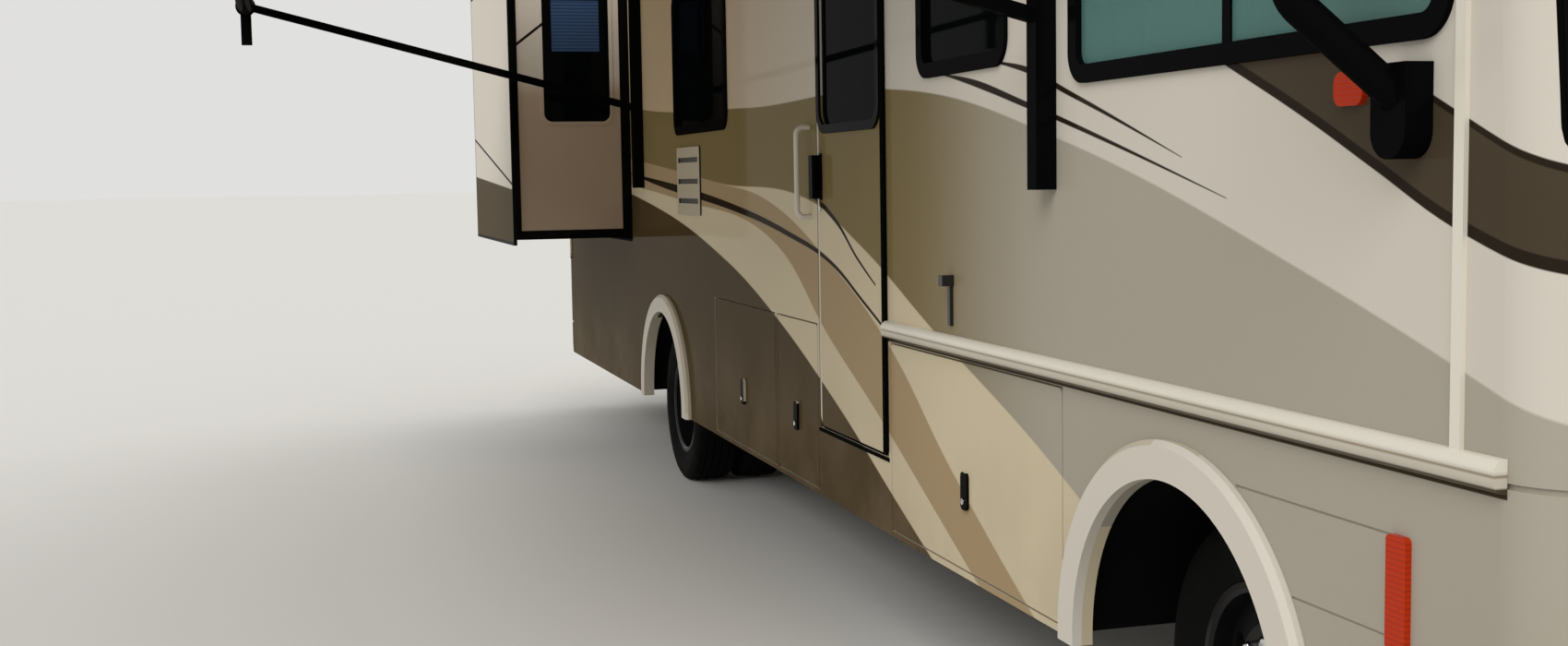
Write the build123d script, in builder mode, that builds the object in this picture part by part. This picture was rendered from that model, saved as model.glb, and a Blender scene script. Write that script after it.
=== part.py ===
from build123d import *
from math import cos, radians, sin
import os

os.makedirs("parts", exist_ok=True)

# A front-engine motorhome with an extended room on each side and a patio awning.
# The front faces -Y, the curb side is -X, the street side +X, and the ground is Z = 0.
# All sizes are in millimetres.

CURB = -1
STREET = 1
FRONT = -1
REAR = 1

# Coach body
half_width = 1275
wall_thickness = 45
skirt_thickness = 30
skirt_bottom = 420
belt_z = 1118
wall_top = 3180
ceiling_z = 3240
shoulder_z = 3225
shoulder_x = 1185
roof_edge_z = 3318
roof_top = 3345
front_seam = -4955
rear_seam = 5150
front_roof_seam = -4600
rear_roof_seam = 4950
floor_top = 1170
floor_thickness = 60
floor_bottom = floor_top - floor_thickness
panel_gap = 6

# Moulded end caps: height, furthest point of the bowed face, start of the rounded corner
cap_wall = 30
cap_bow = 125
cap_corner_x = 1140
cap_back = 4100
coach_reach = 8000
trim_reach = 2000
front_levels = [
    (skirt_bottom, -5265, -5040),
    (480, -5350, -5070),
    (800, -5350, -5070),
    (1640, -5330, -5070),
    (2800, -5195, -4990),
    (wall_top, -5110, -4960),
    (3250, -5060, -4900),
    (3315, -4960, -4800),
    (roof_top + 5, -4800, -4660),
]
rear_levels = [
    (skirt_bottom, 5290, 5170),
    (480, 5345, 5190),
    (2900, 5330, 5175),
    (wall_top, 5300, 5165),
    (3290, 5240, 5100),
    (roof_top + 5, 5120, 4990),
]

# Windscreen and the openings in the front cap
windscreen_half = 1235
windscreen_low = 1655
windscreen_high = 2760
windscreen_corner = 90
glass_inset = 6
glass_thickness = 10
access_half = 650
access_low = 1000
access_high = 1570
access_corner = 60
grille_half = 640
grille_low = 560
grille_high = 900
grille_corner = 60
grille_pitch = 62
grille_bar = 24
grille_rim = 26
grille_inset = 8
grille_depth = 34
headlamp_inner = 740
headlamp_outer = 1100
headlamp_low = 900
headlamp_high = 1190
headlamp_corner = 70
lamp_inset = 3
lamp_depth = 55

# Clearance lamps across both brows: places, half length, lower and upper edge
clearance_places = (-1010, -230, 0, 230, 1010)
clearance_half = 45
clearance_low = 3198
clearance_high = 3222
clearance_corner = 10

# Joint lines moulded into the caps
split_depth = 8
front_split = (1126, 1138)
rear_split = (640, 652)

# Rear cap openings
rear_window_half = 520
rear_window_low = 1950
rear_window_high = 2550
tail_lamp_inner = 985
tail_lamp_outer = 1115
tail_lamp_low = 860
tail_lamp_high = 1320
tail_lamp_corner = 40
hitch_notch_half = 110
hitch_notch_low = 300
hitch_notch_top = 630
hitch_notch_corner = 30
plate_half = 170
plate_low = 720
plate_high = 890
plate_corner = 12

# Side windows: side, front edge, rear edge, bottom, top, number of panes
window_corner = 70
window_rim = 34
window_flange = 14
window_proud = 12
side_windows = [
    (CURB, -4912, -3376, 1930, 2700, 2),
    (CURB, -2928, -2229, 2010, 2640, 1),
    (CURB, 369, 1479, 1930, 2640, 2),
    (STREET, -4912, -3376, 1930, 2700, 2),
    (STREET, 1350, 2050, 2150, 2640, 1),
    (STREET, 2900, 4100, 1980, 2640, 2),
]

# Entry door, hinged at its front edge
door_front = -1863
door_rear = -1065
door_low = 705
door_high = 2700
door_gap = 10
door_corner = 50
door_hinge_out = 30
door_window_margin = 62
door_window_low = 1885
door_window_high = 2560
door_window_corner = 60
handle_front = -1128
handle_rear = -1082
handle_low = 1600
handle_high = 1770
handle_out = 42

# Wheel arches, centred on the axles
front_axle_y = -3921
wheelbase = 5790
rear_axle_y = front_axle_y + wheelbase
axle_z = 419
arch_z = 447
arch_radius = 503
flare_side = 105
flare_top = 95
flare_proud = 30
flare_round = 14
well_radius = 540
well_sheet = 8
well_inner_x = 540
well_wall_low = 640

# Baggage bay doors: name, side, front edge, rear edge
bay_door_low = 446
bay_door_high = 1100
bay_door_thickness = 26
bay_door_corner = 18
bay_doors = [
    ("curb_bay_door_front", CURB, -3295, -1906),
    ("curb_bay_door_middle", CURB, -1029, -446),
    ("curb_bay_door_rear", CURB, -404, 684),
    ("street_bay_door_front", STREET, -3295, -1906),
    ("street_bay_door_rear", STREET, -404, 684),
]
bay_sheet = 12
bay_inner_x = 523
latch_width = 50
latch_height = 120
latch_z = 700
latch_out = 12

# Step well behind the entry door
well_tread_z = 935
well_floor_z = 720
well_depth = 640
well_tread = 300

# Extended rooms: name, side, front, rear, bottom, top
slide_reach = 720
slide_depth = 815
slide_wall = 45
slide_gap = 9
slide_flange = 32
slide_flange_thickness = 20
slides = [
    ("curb_slide", CURB, 2789, 4750, 1340, 2930),
    ("street_slide", STREET, -2900, 900, 1240, 2990),
]
# Window in the forward end wall of the curb room, measured out from the coach wall
end_window_near = 114
end_window_far = 514
end_window_low = 2040
end_window_high = 2815
slide_window_corner = 50
# Windows in the long wall of the street room: front edge, rear edge
street_room_windows = [(-2450, -1250), (-350, 450)]
street_room_window_low = 1960
street_room_window_high = 2620

end_rim = 20
end_rim_proud = 4

# Mouldings and marker lamps
belt_proud = 28
belt_height = 62
belt_front = -5085
belt_rear = -1880
seam_half = 14
seam_proud = 10
marker_front = -4824
marker_rear = -4763
marker_low = 765
marker_high = 990
marker_corner = 12
marker_out = 14
turn_lamp_front = -4672
turn_lamp_rear = -4576
turn_lamp_low = 1805
turn_lamp_high = 1872
turn_lamp_corner = 24

# Joint lines of the compartment ahead of the front wheel: height, rear end on the skirt
locker_front = -4762
locker_lines = [(985, -4196), (785, -4422)]
locker_line_width = 6
locker_line_depth = 5

# Fittings on the curb wall
vent_front = 930
vent_rear = 1445
vent_low = 1500
vent_high = 1850
vent_proud = 9
vent_corner = 16
vent_margin = 34
vent_slots = (1573, 1674, 1784)
vent_slot_height = 26
vent_slot_depth = 7
catch_y = -2491
catch_low = 1210
catch_high = 1370
catch_width = 20
catch_proud = 12
catch_head = 34
catch_head_proud = 40
bar_y = -965
bar_low = 1517
bar_high = 1894
bar_out = 55
bar_radius = 11
bar_bend = 30

# Mirrors: a base on the wall, a bent arm and the head
mirror_base_y = -4817
mirror_base_z = 1787
mirror_base = (60, 104, 176)
mirror_base_lift = 18
mirror_arm_radius = 32
mirror_elbow = (275, -15, 200)
mirror_top = (318, -55, 350)
mirror_bend = 80
mirror_head = (220, 120, 420)
mirror_head_out = 12
mirror_round = 45
mirror_edge = 18

# Cab
dash_front = -5100
dash_rear = -4700
dash_half = 1090
dash_top = 1520
wheel_x = 560
wheel_y = -4520
wheel_z = 1620
wheel_tilt = 35
wheel_radius = 225
wheel_rim = 16
seat_x = 600
seat_y = -4000
seat_width = 540
seat_height = 460
seat_depth = 520
cushion_thickness = 140
back_height = 760
back_thickness = 130
back_tilt = 12
pedestal = 300

# Ladder on the rear cap
ladder_x = (-960, -620)
ladder_y = 5400
ladder_low = 700
ladder_high = 3425
ladder_hook_y = 5080
ladder_bend = 90
ladder_tube = 12
rung_radius = 10
rung_pitch = 290
rung_count = 9

# Chassis
rail_x = 430
rail_width = 80
rail_low = 560
rail_high = 800
rail_web = 10
rail_front = -4990
rail_rear = 5180
cross_width = 80
cross_height = 85
cross_lift = 67
cross_places = [-4960, -3600, -2300, -900, 500, 1500, 2450, 4450, 5140]
riser_size = 60
riser_places = [-3250, -1950, -1000, 700, 2500, 3800, 5000]
hitch_outer = 63.5
hitch_z = rail_low - hitch_outer / 2
hitch_inner = 50.8
hitch_length = 380
hitch_depth = 320
hitch_rear = 5440
hitch_pin_radius = 8.1
hitch_pin_from_end = 60

# Axles, springs and steering
spring_x = 430
spring_width = 76
spring_half = 620
leaf_thickness = 12
leaf_count = 4
kingpin_x = 815
kingpin_radius = 20
running_gap = 0.5
boss_radius = 42
boss_half = 60
ear_thickness = 30
ear_gap = 6
knuckle_reach = 62
spindle_radius = 38
front_tyre_x = 950
rear_tyre_x = 1080
dual_spacing = 279
axle_tube_radius = 62
differential_radius = 190

spindle_reach = 215
knuckle_plate = 24
front_beam_width = 80
front_beam_low = 300
front_beam_top = 380
rear_tube_reach = 1070
pinion_radius = 70
pinion_half = 60
spring_pad = 60

# Wheels and tyres
tyre_radius = 419
tyre_half = 124
bead_radius = 248
bead_half = 84
tread_half = 106
flange_radius = 262
flange_half = 97
barrel_inner = 236
disc_thickness = 14
hub_front = 112
hub_rear = 168
stud_circle = 112.5
stud_count = 8
stud_radius = 14
stud_length = 26
hand_hole_circle = 186
hand_hole_radius = 26
hub_radius = 78

# Underbody
engine_half = 330
engine_front = -4900
engine_rear = -4180
engine_low = 500
engine_high = 1070
gearbox_radius = 130
gearbox_rear = -3450
gearbox_z = 570
shaft_radius = 45
exhaust_x = 255
exhaust_z = 600
exhaust_front = -4100
exhaust_rear = 4950
exhaust_radius = 38
muffler_front = -1500
muffler_rear = -600
muffler_radius = 85
tank_front = 2900
tank_rear = 4300
tank_curb_x = -385
tank_street_x = 190
tank_low = 470
tank_high = 700
tank_round = 45

# Roof fittings: front, rear, half width, height
cooler_units = [(-2150, -1100, 360, 330), (2450, 3500, 360, 330)]
roof_vents = [(-3700, -3300, 200, 100), (300, 700, 200, 100), (4200, 4600, 200, 100)]
unit_sink = 8
unit_corner = 90
unit_taper = 14
unit_edge = 38
vent_edge = 12

# Awning
awning_front = -3237
awning_rear = 2399
channel_size = 60
channel_low = 1640
channel_high = 3160
arm_pivot_z = 2110
arm_depth = 42
arm_width = 30
roller_x = 3460
roller_z = 2665
roller_radius = 45
arm_foot_low = 2455
arm_foot_width = 56
awning_rail_z = 3140
awning_rail_size = 28
fabric_thickness = 4
fabric_sag = 45


def side_plane(side, depth, thickness):
    """Plane on the low-X face of a sheet that starts at a depth inside a side of the coach."""
    low_x = side * (half_width - depth)
    if side == STREET:
        low_x -= thickness
    return Plane.YZ.offset(low_x)


def patch(front, rear, low, high, corner=0, mode=Mode.ADD):
    """Rectangle given by its edges, rounded if it has a corner radius."""
    with Locations(((front + rear) / 2, (low + high) / 2)):
        if corner:
            RectangleRounded(rear - front, high - low, corner, mode=mode)
        else:
            Rectangle(rear - front, high - low, mode=mode)


def cap_section(level_z, face_y, corner_y, end, inset):
    """Level section of an end cap: straight sides, rounded corners and a bowed face."""
    side_x = half_width - inset
    turn_x = cap_corner_x - 0.7 * inset
    turn_y = face_y - end * (cap_bow + 0.7 * inset)
    back_y = end * cap_back
    with BuildSketch(Plane.XY.offset(level_z)) as section:
        with BuildLine():
            Line((-side_x, back_y), (-side_x, corner_y))
            TangentArc((-side_x, corner_y), (-turn_x, turn_y), tangent=(0, end))
            ThreePointArc((-turn_x, turn_y), (0, face_y - end * inset), (turn_x, turn_y))
            TangentArc((side_x, corner_y), (turn_x, turn_y), tangent=(0, end))
            Line((side_x, corner_y), (side_x, back_y))
            Line((side_x, back_y), (-side_x, back_y))
        make_face()
    return section.sketch


def coach_outline(inset, low_z):
    """Cross-section of the coach above a height: upright sides, rounded shoulders, crowned roof."""
    side_x = half_width - inset
    edge_x = shoulder_x - 0.3 * inset
    with BuildSketch(Plane.XZ) as outline:
        with BuildLine():
            Line((-side_x, low_z), (-side_x, shoulder_z - inset))
            TangentArc((-side_x, shoulder_z - inset), (-edge_x, roof_edge_z - inset), tangent=(0, 1))
            ThreePointArc((-edge_x, roof_edge_z - inset), (0, roof_top - inset), (edge_x, roof_edge_z - inset))
            TangentArc((side_x, shoulder_z - inset), (edge_x, roof_edge_z - inset), tangent=(0, 1))
            Line((side_x, shoulder_z - inset), (side_x, low_z))
            Line((side_x, low_z), (-side_x, low_z))
        make_face()
    return outline.sketch


def cap_body(levels, end, inset):
    """Solid form of an end cap, drawn in from its outer face by an inset."""
    low_z = skirt_bottom - (40 if inset else 0)
    with BuildPart() as body:
        for level_z, face_y, corner_y in levels:
            section_z = level_z
            if level_z == skirt_bottom:
                section_z = low_z
            if level_z > wall_top:
                section_z = level_z - inset
            add(cap_section(section_z, face_y, corner_y, end, inset))
        loft(ruled=True)
        with BuildSketch(Plane.XZ.offset(-coach_reach)):
            add(coach_outline(inset, low_z - 20))
        extrude(amount=2 * coach_reach, mode=Mode.INTERSECT)
    return body.part


def front_prism(x_low, x_high, z_low, z_high, corner, end=FRONT):
    """Straight prism through an end cap's face, to cut an opening or what fills it."""
    near_y = 4985
    length = 600
    plane = Plane.XZ.offset(near_y) if end == FRONT else Plane.XZ.offset(-near_y - length)
    with BuildPart() as prism:
        with BuildSketch(plane):
            patch(x_low, x_high, z_low, z_high, corner)
        extrude(amount=length)
    return prism.part


def cap_layer(forms, outer_inset, inner_inset, prism):
    """What lies between two insets of a cap and inside a prism: a pane, a lamp or a lid."""
    with BuildPart() as layer:
        add(prism)
        add(forms[outer_inset], mode=Mode.INTERSECT)
        add(forms[inner_inset], mode=Mode.SUBTRACT)
    return layer.part


windscreen_prism = front_prism(
    -windscreen_half, windscreen_half, windscreen_low, windscreen_high, windscreen_corner
)
headlamp_prisms = [
    front_prism(low, high, headlamp_low, headlamp_high, headlamp_corner)
    for low, high in ((-headlamp_outer, -headlamp_inner), (headlamp_inner, headlamp_outer))
]
tail_lamp_prisms = [
    front_prism(low, high, tail_lamp_low, tail_lamp_high, tail_lamp_corner, REAR)
    for low, high in ((-tail_lamp_outer, -tail_lamp_inner), (tail_lamp_inner, tail_lamp_outer))
]
rear_window_prism = front_prism(
    -rear_window_half, rear_window_half, rear_window_low, rear_window_high, window_corner, REAR
)
grille_prism = front_prism(-grille_half, grille_half, grille_low, grille_high, grille_corner)
clearance_spans = [(place - clearance_half, place + clearance_half) for place in clearance_places]
front_clearance_prisms = [
    front_prism(low, high, clearance_low, clearance_high, clearance_corner)
    for low, high in clearance_spans
]
rear_clearance_prisms = [
    front_prism(low, high, clearance_low, clearance_high, clearance_corner, REAR)
    for low, high in clearance_spans
]
front_split_prism = front_prism(-coach_reach / 2, coach_reach / 2, *front_split, 0)
rear_split_prism = front_prism(-coach_reach / 2, coach_reach / 2, *rear_split, 0, REAR)
plate_prism = front_prism(-plate_half, plate_half, plate_low, plate_high, plate_corner, REAR)

# Forms of both caps at every inset that a piece needs
front_insets = [0, lamp_inset, glass_inset, grille_inset, split_depth, glass_inset + glass_thickness]
front_insets += [cap_wall, grille_inset + grille_depth, lamp_inset + lamp_depth]
front_forms = {inset: cap_body(front_levels, FRONT, inset) for inset in front_insets}
rear_insets = [0, lamp_inset, glass_inset, split_depth, glass_inset + glass_thickness, cap_wall]
rear_forms = {inset: cap_body(rear_levels, REAR, inset) for inset in rear_insets}

# Front cap: one moulded shell with its openings
with BuildPart() as front_cap:
    add(front_forms[0])
    add(front_forms[cap_wall], mode=Mode.SUBTRACT)
    with BuildSketch(Plane.YZ.offset(-trim_reach)):
        patch(front_seam, 0, 0, wall_top)
        patch(front_roof_seam, 0, wall_top, 4000)
    extrude(amount=2 * trim_reach, mode=Mode.SUBTRACT)
    add(windscreen_prism, mode=Mode.SUBTRACT)
    add(grille_prism, mode=Mode.SUBTRACT)
    add(front_prism(-access_half, access_half, access_low, access_high, access_corner), mode=Mode.SUBTRACT)
    for lamp_prism in headlamp_prisms + front_clearance_prisms:
        add(lamp_prism, mode=Mode.SUBTRACT)
    add(cap_layer(front_forms, 0, split_depth, front_split_prism), mode=Mode.SUBTRACT)
front_cap.part.label = "front_cap"
export_step(front_cap.part, "parts/front_cap.step")

# Windscreen, bonded into the cap
with BuildPart() as windscreen:
    add(cap_layer(front_forms, glass_inset, glass_inset + glass_thickness, windscreen_prism))
windscreen.part.label = "windscreen"
export_step(windscreen.part, "parts/windscreen.step")

# Front access door, hinged along its top edge
with BuildPart() as front_access_door:
    access_prism = front_prism(
        -access_half + panel_gap,
        access_half - panel_gap,
        access_low + panel_gap,
        access_high - panel_gap,
        access_corner - panel_gap,
    )
    add(cap_layer(front_forms, 0, cap_wall, access_prism))
front_access_door.part.label = "front_access_door"
export_step(front_access_door.part, "parts/front_access_door.step")

# Grille: a rim that follows the cap, with level bars across it
with BuildPart() as grille:
    with BuildSketch(Plane.XZ.offset(4985)):
        patch(-grille_half, grille_half, grille_low, grille_high, 60)
        patch(
            -grille_half + grille_rim,
            grille_half - grille_rim,
            grille_low + grille_rim,
            grille_high - grille_rim,
            40,
            mode=Mode.SUBTRACT,
        )
        bar_count = int((grille_high - grille_low - 2 * grille_rim) / grille_pitch)
        with Locations((0, (grille_low + grille_high) / 2)):
            with GridLocations(1, grille_pitch, 1, bar_count):
                Rectangle(2 * grille_half - grille_rim, grille_bar)
        for post_x in (-grille_half / 3, grille_half / 3):
            with Locations((post_x, (grille_low + grille_high) / 2)):
                Rectangle(grille_bar, grille_high - grille_low - grille_rim)
    extrude(amount=600)
    add(front_forms[grille_inset], mode=Mode.INTERSECT)
    add(front_forms[grille_inset + grille_depth], mode=Mode.SUBTRACT)
grille.part.label = "grille"
export_step(grille.part, "parts/grille.step")

# Rear cap with its window and lamp openings
with BuildPart() as rear_cap:
    add(rear_forms[0])
    add(rear_forms[cap_wall], mode=Mode.SUBTRACT)
    with BuildSketch(Plane.YZ.offset(-trim_reach)):
        patch(0, rear_seam, 0, wall_top)
        patch(0, rear_roof_seam, wall_top, 4000)
    extrude(amount=2 * trim_reach, mode=Mode.SUBTRACT)
    add(rear_window_prism, mode=Mode.SUBTRACT)
    for lamp_prism in tail_lamp_prisms + rear_clearance_prisms:
        add(lamp_prism, mode=Mode.SUBTRACT)
    hitch_notch = front_prism(
        -hitch_notch_half, hitch_notch_half, hitch_notch_low, hitch_notch_top, hitch_notch_corner, REAR
    )
    add(hitch_notch, mode=Mode.SUBTRACT)
    for groove_prism in (rear_split_prism, plate_prism):
        add(cap_layer(rear_forms, 0, split_depth, groove_prism), mode=Mode.SUBTRACT)
rear_cap.part.label = "rear_cap"
export_step(rear_cap.part, "parts/rear_cap.step")

# Roof between the caps
with BuildPart() as roof:
    with BuildSketch(Plane.XZ.offset(-rear_roof_seam)):
        add(coach_outline(0, wall_top))
        patch(-half_width + wall_thickness, half_width - wall_thickness, 0, ceiling_z, mode=Mode.SUBTRACT)
    extrude(amount=rear_roof_seam - front_roof_seam)
roof.part.label = "roof"
export_step(roof.part, "parts/roof.step")


def ring(front, rear, low, high, corner, grow, width):
    """Rounded frame outline: its opening edges grown outwards, less an inner rectangle."""
    patch(front - grow, rear + grow, low - grow, high + grow, corner + grow)
    patch(
        front + width,
        rear - width,
        low + width,
        high - width,
        corner - width,
        mode=Mode.SUBTRACT,
    )


# Side walls, each one panel with its windows, door and room opening cut
for side, name in ((CURB, "curb_wall"), (STREET, "street_wall")):
    with BuildPart() as wall:
        with BuildSketch(side_plane(side, 0, wall_thickness)):
            patch(front_seam, rear_seam, belt_z, wall_top)
            for window_side, front, rear, low, high, panes in side_windows:
                if window_side == side:
                    patch(front, rear, low, high, window_corner, Mode.SUBTRACT)
            for slide_name, slide_side, front, rear, low, high in slides:
                if slide_side == side:
                    patch(
                        front - slide_gap,
                        rear + slide_gap,
                        low - slide_gap,
                        high + slide_gap,
                        mode=Mode.SUBTRACT,
                    )
            if side == CURB:
                patch(
                    door_front - door_gap,
                    door_rear + door_gap,
                    belt_z - door_corner,
                    door_high + door_gap,
                    mode=Mode.SUBTRACT,
                )
        extrude(amount=wall_thickness)
    wall.part.label = name
    export_step(wall.part, f"parts/{name}.step")

# Black frames of the coach windows: a flange on the wall and a rim in the opening
with BuildPart() as window_frames:
    for side, front, rear, low, high, panes in side_windows:
        with BuildSketch(side_plane(side, 0, wall_thickness)):
            ring(front, rear, low, high, window_corner, 0, window_rim)
            for pane in range(1, panes):
                with Locations((front + pane * (rear - front) / panes, (low + high) / 2)):
                    Rectangle(window_rim, high - low - window_rim)
        extrude(amount=wall_thickness)
        with BuildSketch(side_plane(side, -window_proud, window_proud)):
            ring(front, rear, low, high, window_corner, window_flange, window_rim)
        extrude(amount=window_proud)
window_frames.part.label = "window_frames"
export_step(window_frames.part, "parts/window_frames.step")

# Their glass, one pane to each division, with the rear window in its cap
with BuildPart() as window_glass:
    for side, front, rear, low, high, panes in side_windows:
        with BuildSketch(side_plane(side, glass_inset, glass_thickness)):
            patch(front + window_rim, rear - window_rim, low + window_rim, high - window_rim,
                  window_corner - window_rim)
            for pane in range(1, panes):
                with Locations((front + pane * (rear - front) / panes, (low + high) / 2)):
                    Rectangle(window_rim, high - low, mode=Mode.SUBTRACT)
        extrude(amount=glass_thickness)
    add(cap_layer(rear_forms, glass_inset, glass_inset + glass_thickness, rear_window_prism))
window_glass.part.label = "window_glass"
export_step(window_glass.part, "parts/window_glass.step")

# Lower sides: one skirt each, cut round the wheels, bays and door, with the arch flares on it
with BuildPart() as side_skirts:
    for side in (CURB, STREET):
        with BuildSketch(side_plane(side, 0, skirt_thickness)):
            patch(front_seam, rear_seam, skirt_bottom, belt_z)
            for bay_name, bay_side, front, rear in bay_doors:
                if bay_side == side:
                    patch(
                        front - panel_gap,
                        rear + panel_gap,
                        bay_door_low - panel_gap,
                        bay_door_high + panel_gap,
                        mode=Mode.SUBTRACT,
                    )
            if side == CURB:
                patch(door_front - door_gap, door_rear + door_gap, door_low - door_gap, belt_z + 1,
                      mode=Mode.SUBTRACT)
            with Locations((front_axle_y, arch_z), (rear_axle_y, arch_z)):
                Circle(arch_radius, mode=Mode.SUBTRACT)
        extrude(amount=skirt_thickness)
        with BuildSketch(side_plane(side, -flare_proud, flare_proud)):
            with Locations((front_axle_y, arch_z), (rear_axle_y, arch_z)):
                Ellipse(arch_radius + flare_side, arch_radius + flare_top)
                Circle(arch_radius, mode=Mode.SUBTRACT)
            patch(front_seam, rear_seam, -arch_radius, skirt_bottom, mode=Mode.SUBTRACT)
        extrude(amount=flare_proud)
        with BuildSketch(side_plane(side, 0, locker_line_depth)):
            for line_z, line_rear in locker_lines:
                patch(
                    locker_front,
                    line_rear,
                    line_z - locker_line_width / 2,
                    line_z + locker_line_width / 2,
                )
        extrude(amount=locker_line_depth, mode=Mode.SUBTRACT)
    flare_edges = side_skirts.edges().filter_by(GeomType.ELLIPSE).filter_by(
        lambda edge: abs(edge.center().X) > half_width + flare_proud - 1
    )
    chamfer(flare_edges, flare_round)
side_skirts.part.label = "side_skirts"
export_step(side_skirts.part, "parts/side_skirts.step")

# Wheel wells: an arched sheet over each wheel with an inner wall above the axle
with BuildPart() as wheel_wells:
    for side in (CURB, STREET):
        for axle_y in (front_axle_y, rear_axle_y):
            reach = half_width - skirt_thickness - well_inner_x
            with BuildSketch(side_plane(side, skirt_thickness, reach)):
                with Locations((axle_y, arch_z)):
                    Circle(well_radius + well_sheet)
                    Circle(well_radius, mode=Mode.SUBTRACT)
                patch(axle_y - 700, axle_y + 700, arch_z - 700, arch_z, mode=Mode.SUBTRACT)
            extrude(amount=reach)
            with BuildSketch(side_plane(side, half_width - well_inner_x, well_sheet)):
                with Locations((axle_y, arch_z)):
                    Circle(well_radius + well_sheet)
                patch(axle_y - 700, axle_y + 700, arch_z - 700, well_wall_low, mode=Mode.SUBTRACT)
            extrude(amount=well_sheet)
wheel_wells.part.label = "wheel_wells"
export_step(wheel_wells.part, "parts/wheel_wells.step")

# Baggage bay doors, each hinged along its top edge, with a recessed paddle latch
for name, side, front, rear in bay_doors:
    with BuildPart() as bay_door:
        with BuildSketch(side_plane(side, 0, bay_door_thickness)):
            patch(front, rear, bay_door_low, bay_door_high, bay_door_corner)
        extrude(amount=bay_door_thickness)
        with BuildSketch(side_plane(side, -latch_out, latch_out)):
            with Locations(((front + rear) / 2, latch_z)):
                RectangleRounded(latch_width, latch_height, latch_width / 3)
        extrude(amount=latch_out)
    bay_door.part.label = name
    export_step(bay_door.part, f"parts/{name}.step")

# Baggage bays: open trays behind their doors, hung from the floor
with BuildPart() as baggage_bays:
    for name, side, front, rear in bay_doors:
        reach = half_width - skirt_thickness - bay_inner_x
        bay_front = front - panel_gap
        bay_rear = rear + panel_gap
        bay_low = bay_door_low - panel_gap - bay_sheet
        with BuildSketch(side_plane(side, skirt_thickness, reach)):
            patch(bay_front - bay_sheet, bay_rear + bay_sheet, bay_low, floor_bottom)
        extrude(amount=reach)
        with BuildSketch(side_plane(side, 0, half_width - bay_inner_x - bay_sheet)):
            patch(bay_front, bay_rear, bay_low + bay_sheet, floor_bottom + 10)
        extrude(amount=half_width - bay_inner_x - bay_sheet, mode=Mode.SUBTRACT)
baggage_bays.part.label = "baggage_bays"
export_step(baggage_bays.part, "parts/baggage_bays.step")

# Step well: two treads down from the floor to the sill of the entry door
well_outer = half_width - wall_thickness
with BuildPart() as step_well:
    with BuildSketch(Plane.XZ.offset(-door_rear - bay_sheet)):
        with BuildLine():
            Polyline(
                (-well_outer, well_floor_z - bay_sheet),
                (-well_outer, well_floor_z),
                (-well_outer + well_tread, well_floor_z),
                (-well_outer + well_tread, well_tread_z),
                (-well_outer + well_depth, well_tread_z),
                (-well_outer + well_depth, floor_bottom),
                (-well_outer + well_depth + bay_sheet, floor_bottom),
                (-well_outer + well_depth + bay_sheet, well_tread_z - bay_sheet),
                (-well_outer + well_tread + bay_sheet, well_tread_z - bay_sheet),
                (-well_outer + well_tread + bay_sheet, well_floor_z - bay_sheet),
                close=True,
            )
        make_face()
    extrude(amount=door_rear - door_front + 2 * bay_sheet)
    for wall_y in (door_front - bay_sheet, door_rear):
        with BuildSketch(Plane.XZ.offset(-wall_y - bay_sheet)):
            patch(-well_outer, -well_outer + well_depth + bay_sheet, well_floor_z - bay_sheet, floor_bottom)
        extrude(amount=bay_sheet)
step_well.part.label = "step_well"
export_step(step_well.part, "parts/step_well.step")

# Floor from the dashboard to the rear cap, open over the step well
with BuildPart() as floor:
    with BuildSketch(Plane.XY.offset(floor_bottom)):
        patch(-half_width + wall_thickness, half_width - wall_thickness, front_seam, rear_seam)
        patch(-well_outer - 1, -well_outer + well_depth, door_front, door_rear, mode=Mode.SUBTRACT)
    extrude(amount=floor_thickness)
floor.part.label = "floor"
export_step(floor.part, "parts/floor.step")

# Entry door with its window cut, a rim round it and a grab handle at the rear edge
with BuildPart() as entry_door:
    window_edges = (
        door_front + door_window_margin,
        door_rear - door_window_margin,
        door_window_low,
        door_window_high,
    )
    with BuildSketch(side_plane(CURB, 0, wall_thickness)):
        patch(door_front, door_rear, door_low, door_high, door_corner)
        patch(*window_edges, door_window_corner, mode=Mode.SUBTRACT)
    extrude(amount=wall_thickness)
    with BuildSketch(side_plane(CURB, -window_proud, window_proud)):
        ring(*window_edges, door_window_corner, window_rim, 0)
    extrude(amount=window_proud)
    with BuildSketch(side_plane(CURB, -handle_out, handle_out)):
        patch(handle_front, handle_rear, handle_low, handle_high, 12)
        patch(handle_front, handle_rear, handle_low + 30, handle_high - 30, mode=Mode.SUBTRACT)
    extrude(amount=handle_out)
    with BuildSketch(side_plane(CURB, -handle_out, 14)):
        patch(handle_front, handle_rear, handle_low + 20, handle_high - 20)
    extrude(amount=14)
entry_door.part.label = "entry_door"
export_step(entry_door.part, "parts/entry_door.step")

with BuildPart() as entry_door_glass:
    with BuildSketch(side_plane(CURB, glass_inset, glass_thickness)):
        patch(*window_edges, door_window_corner)
    extrude(amount=glass_thickness)
entry_door_glass.part.label = "entry_door_glass"
export_step(entry_door_glass.part, "parts/entry_door_glass.step")

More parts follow.
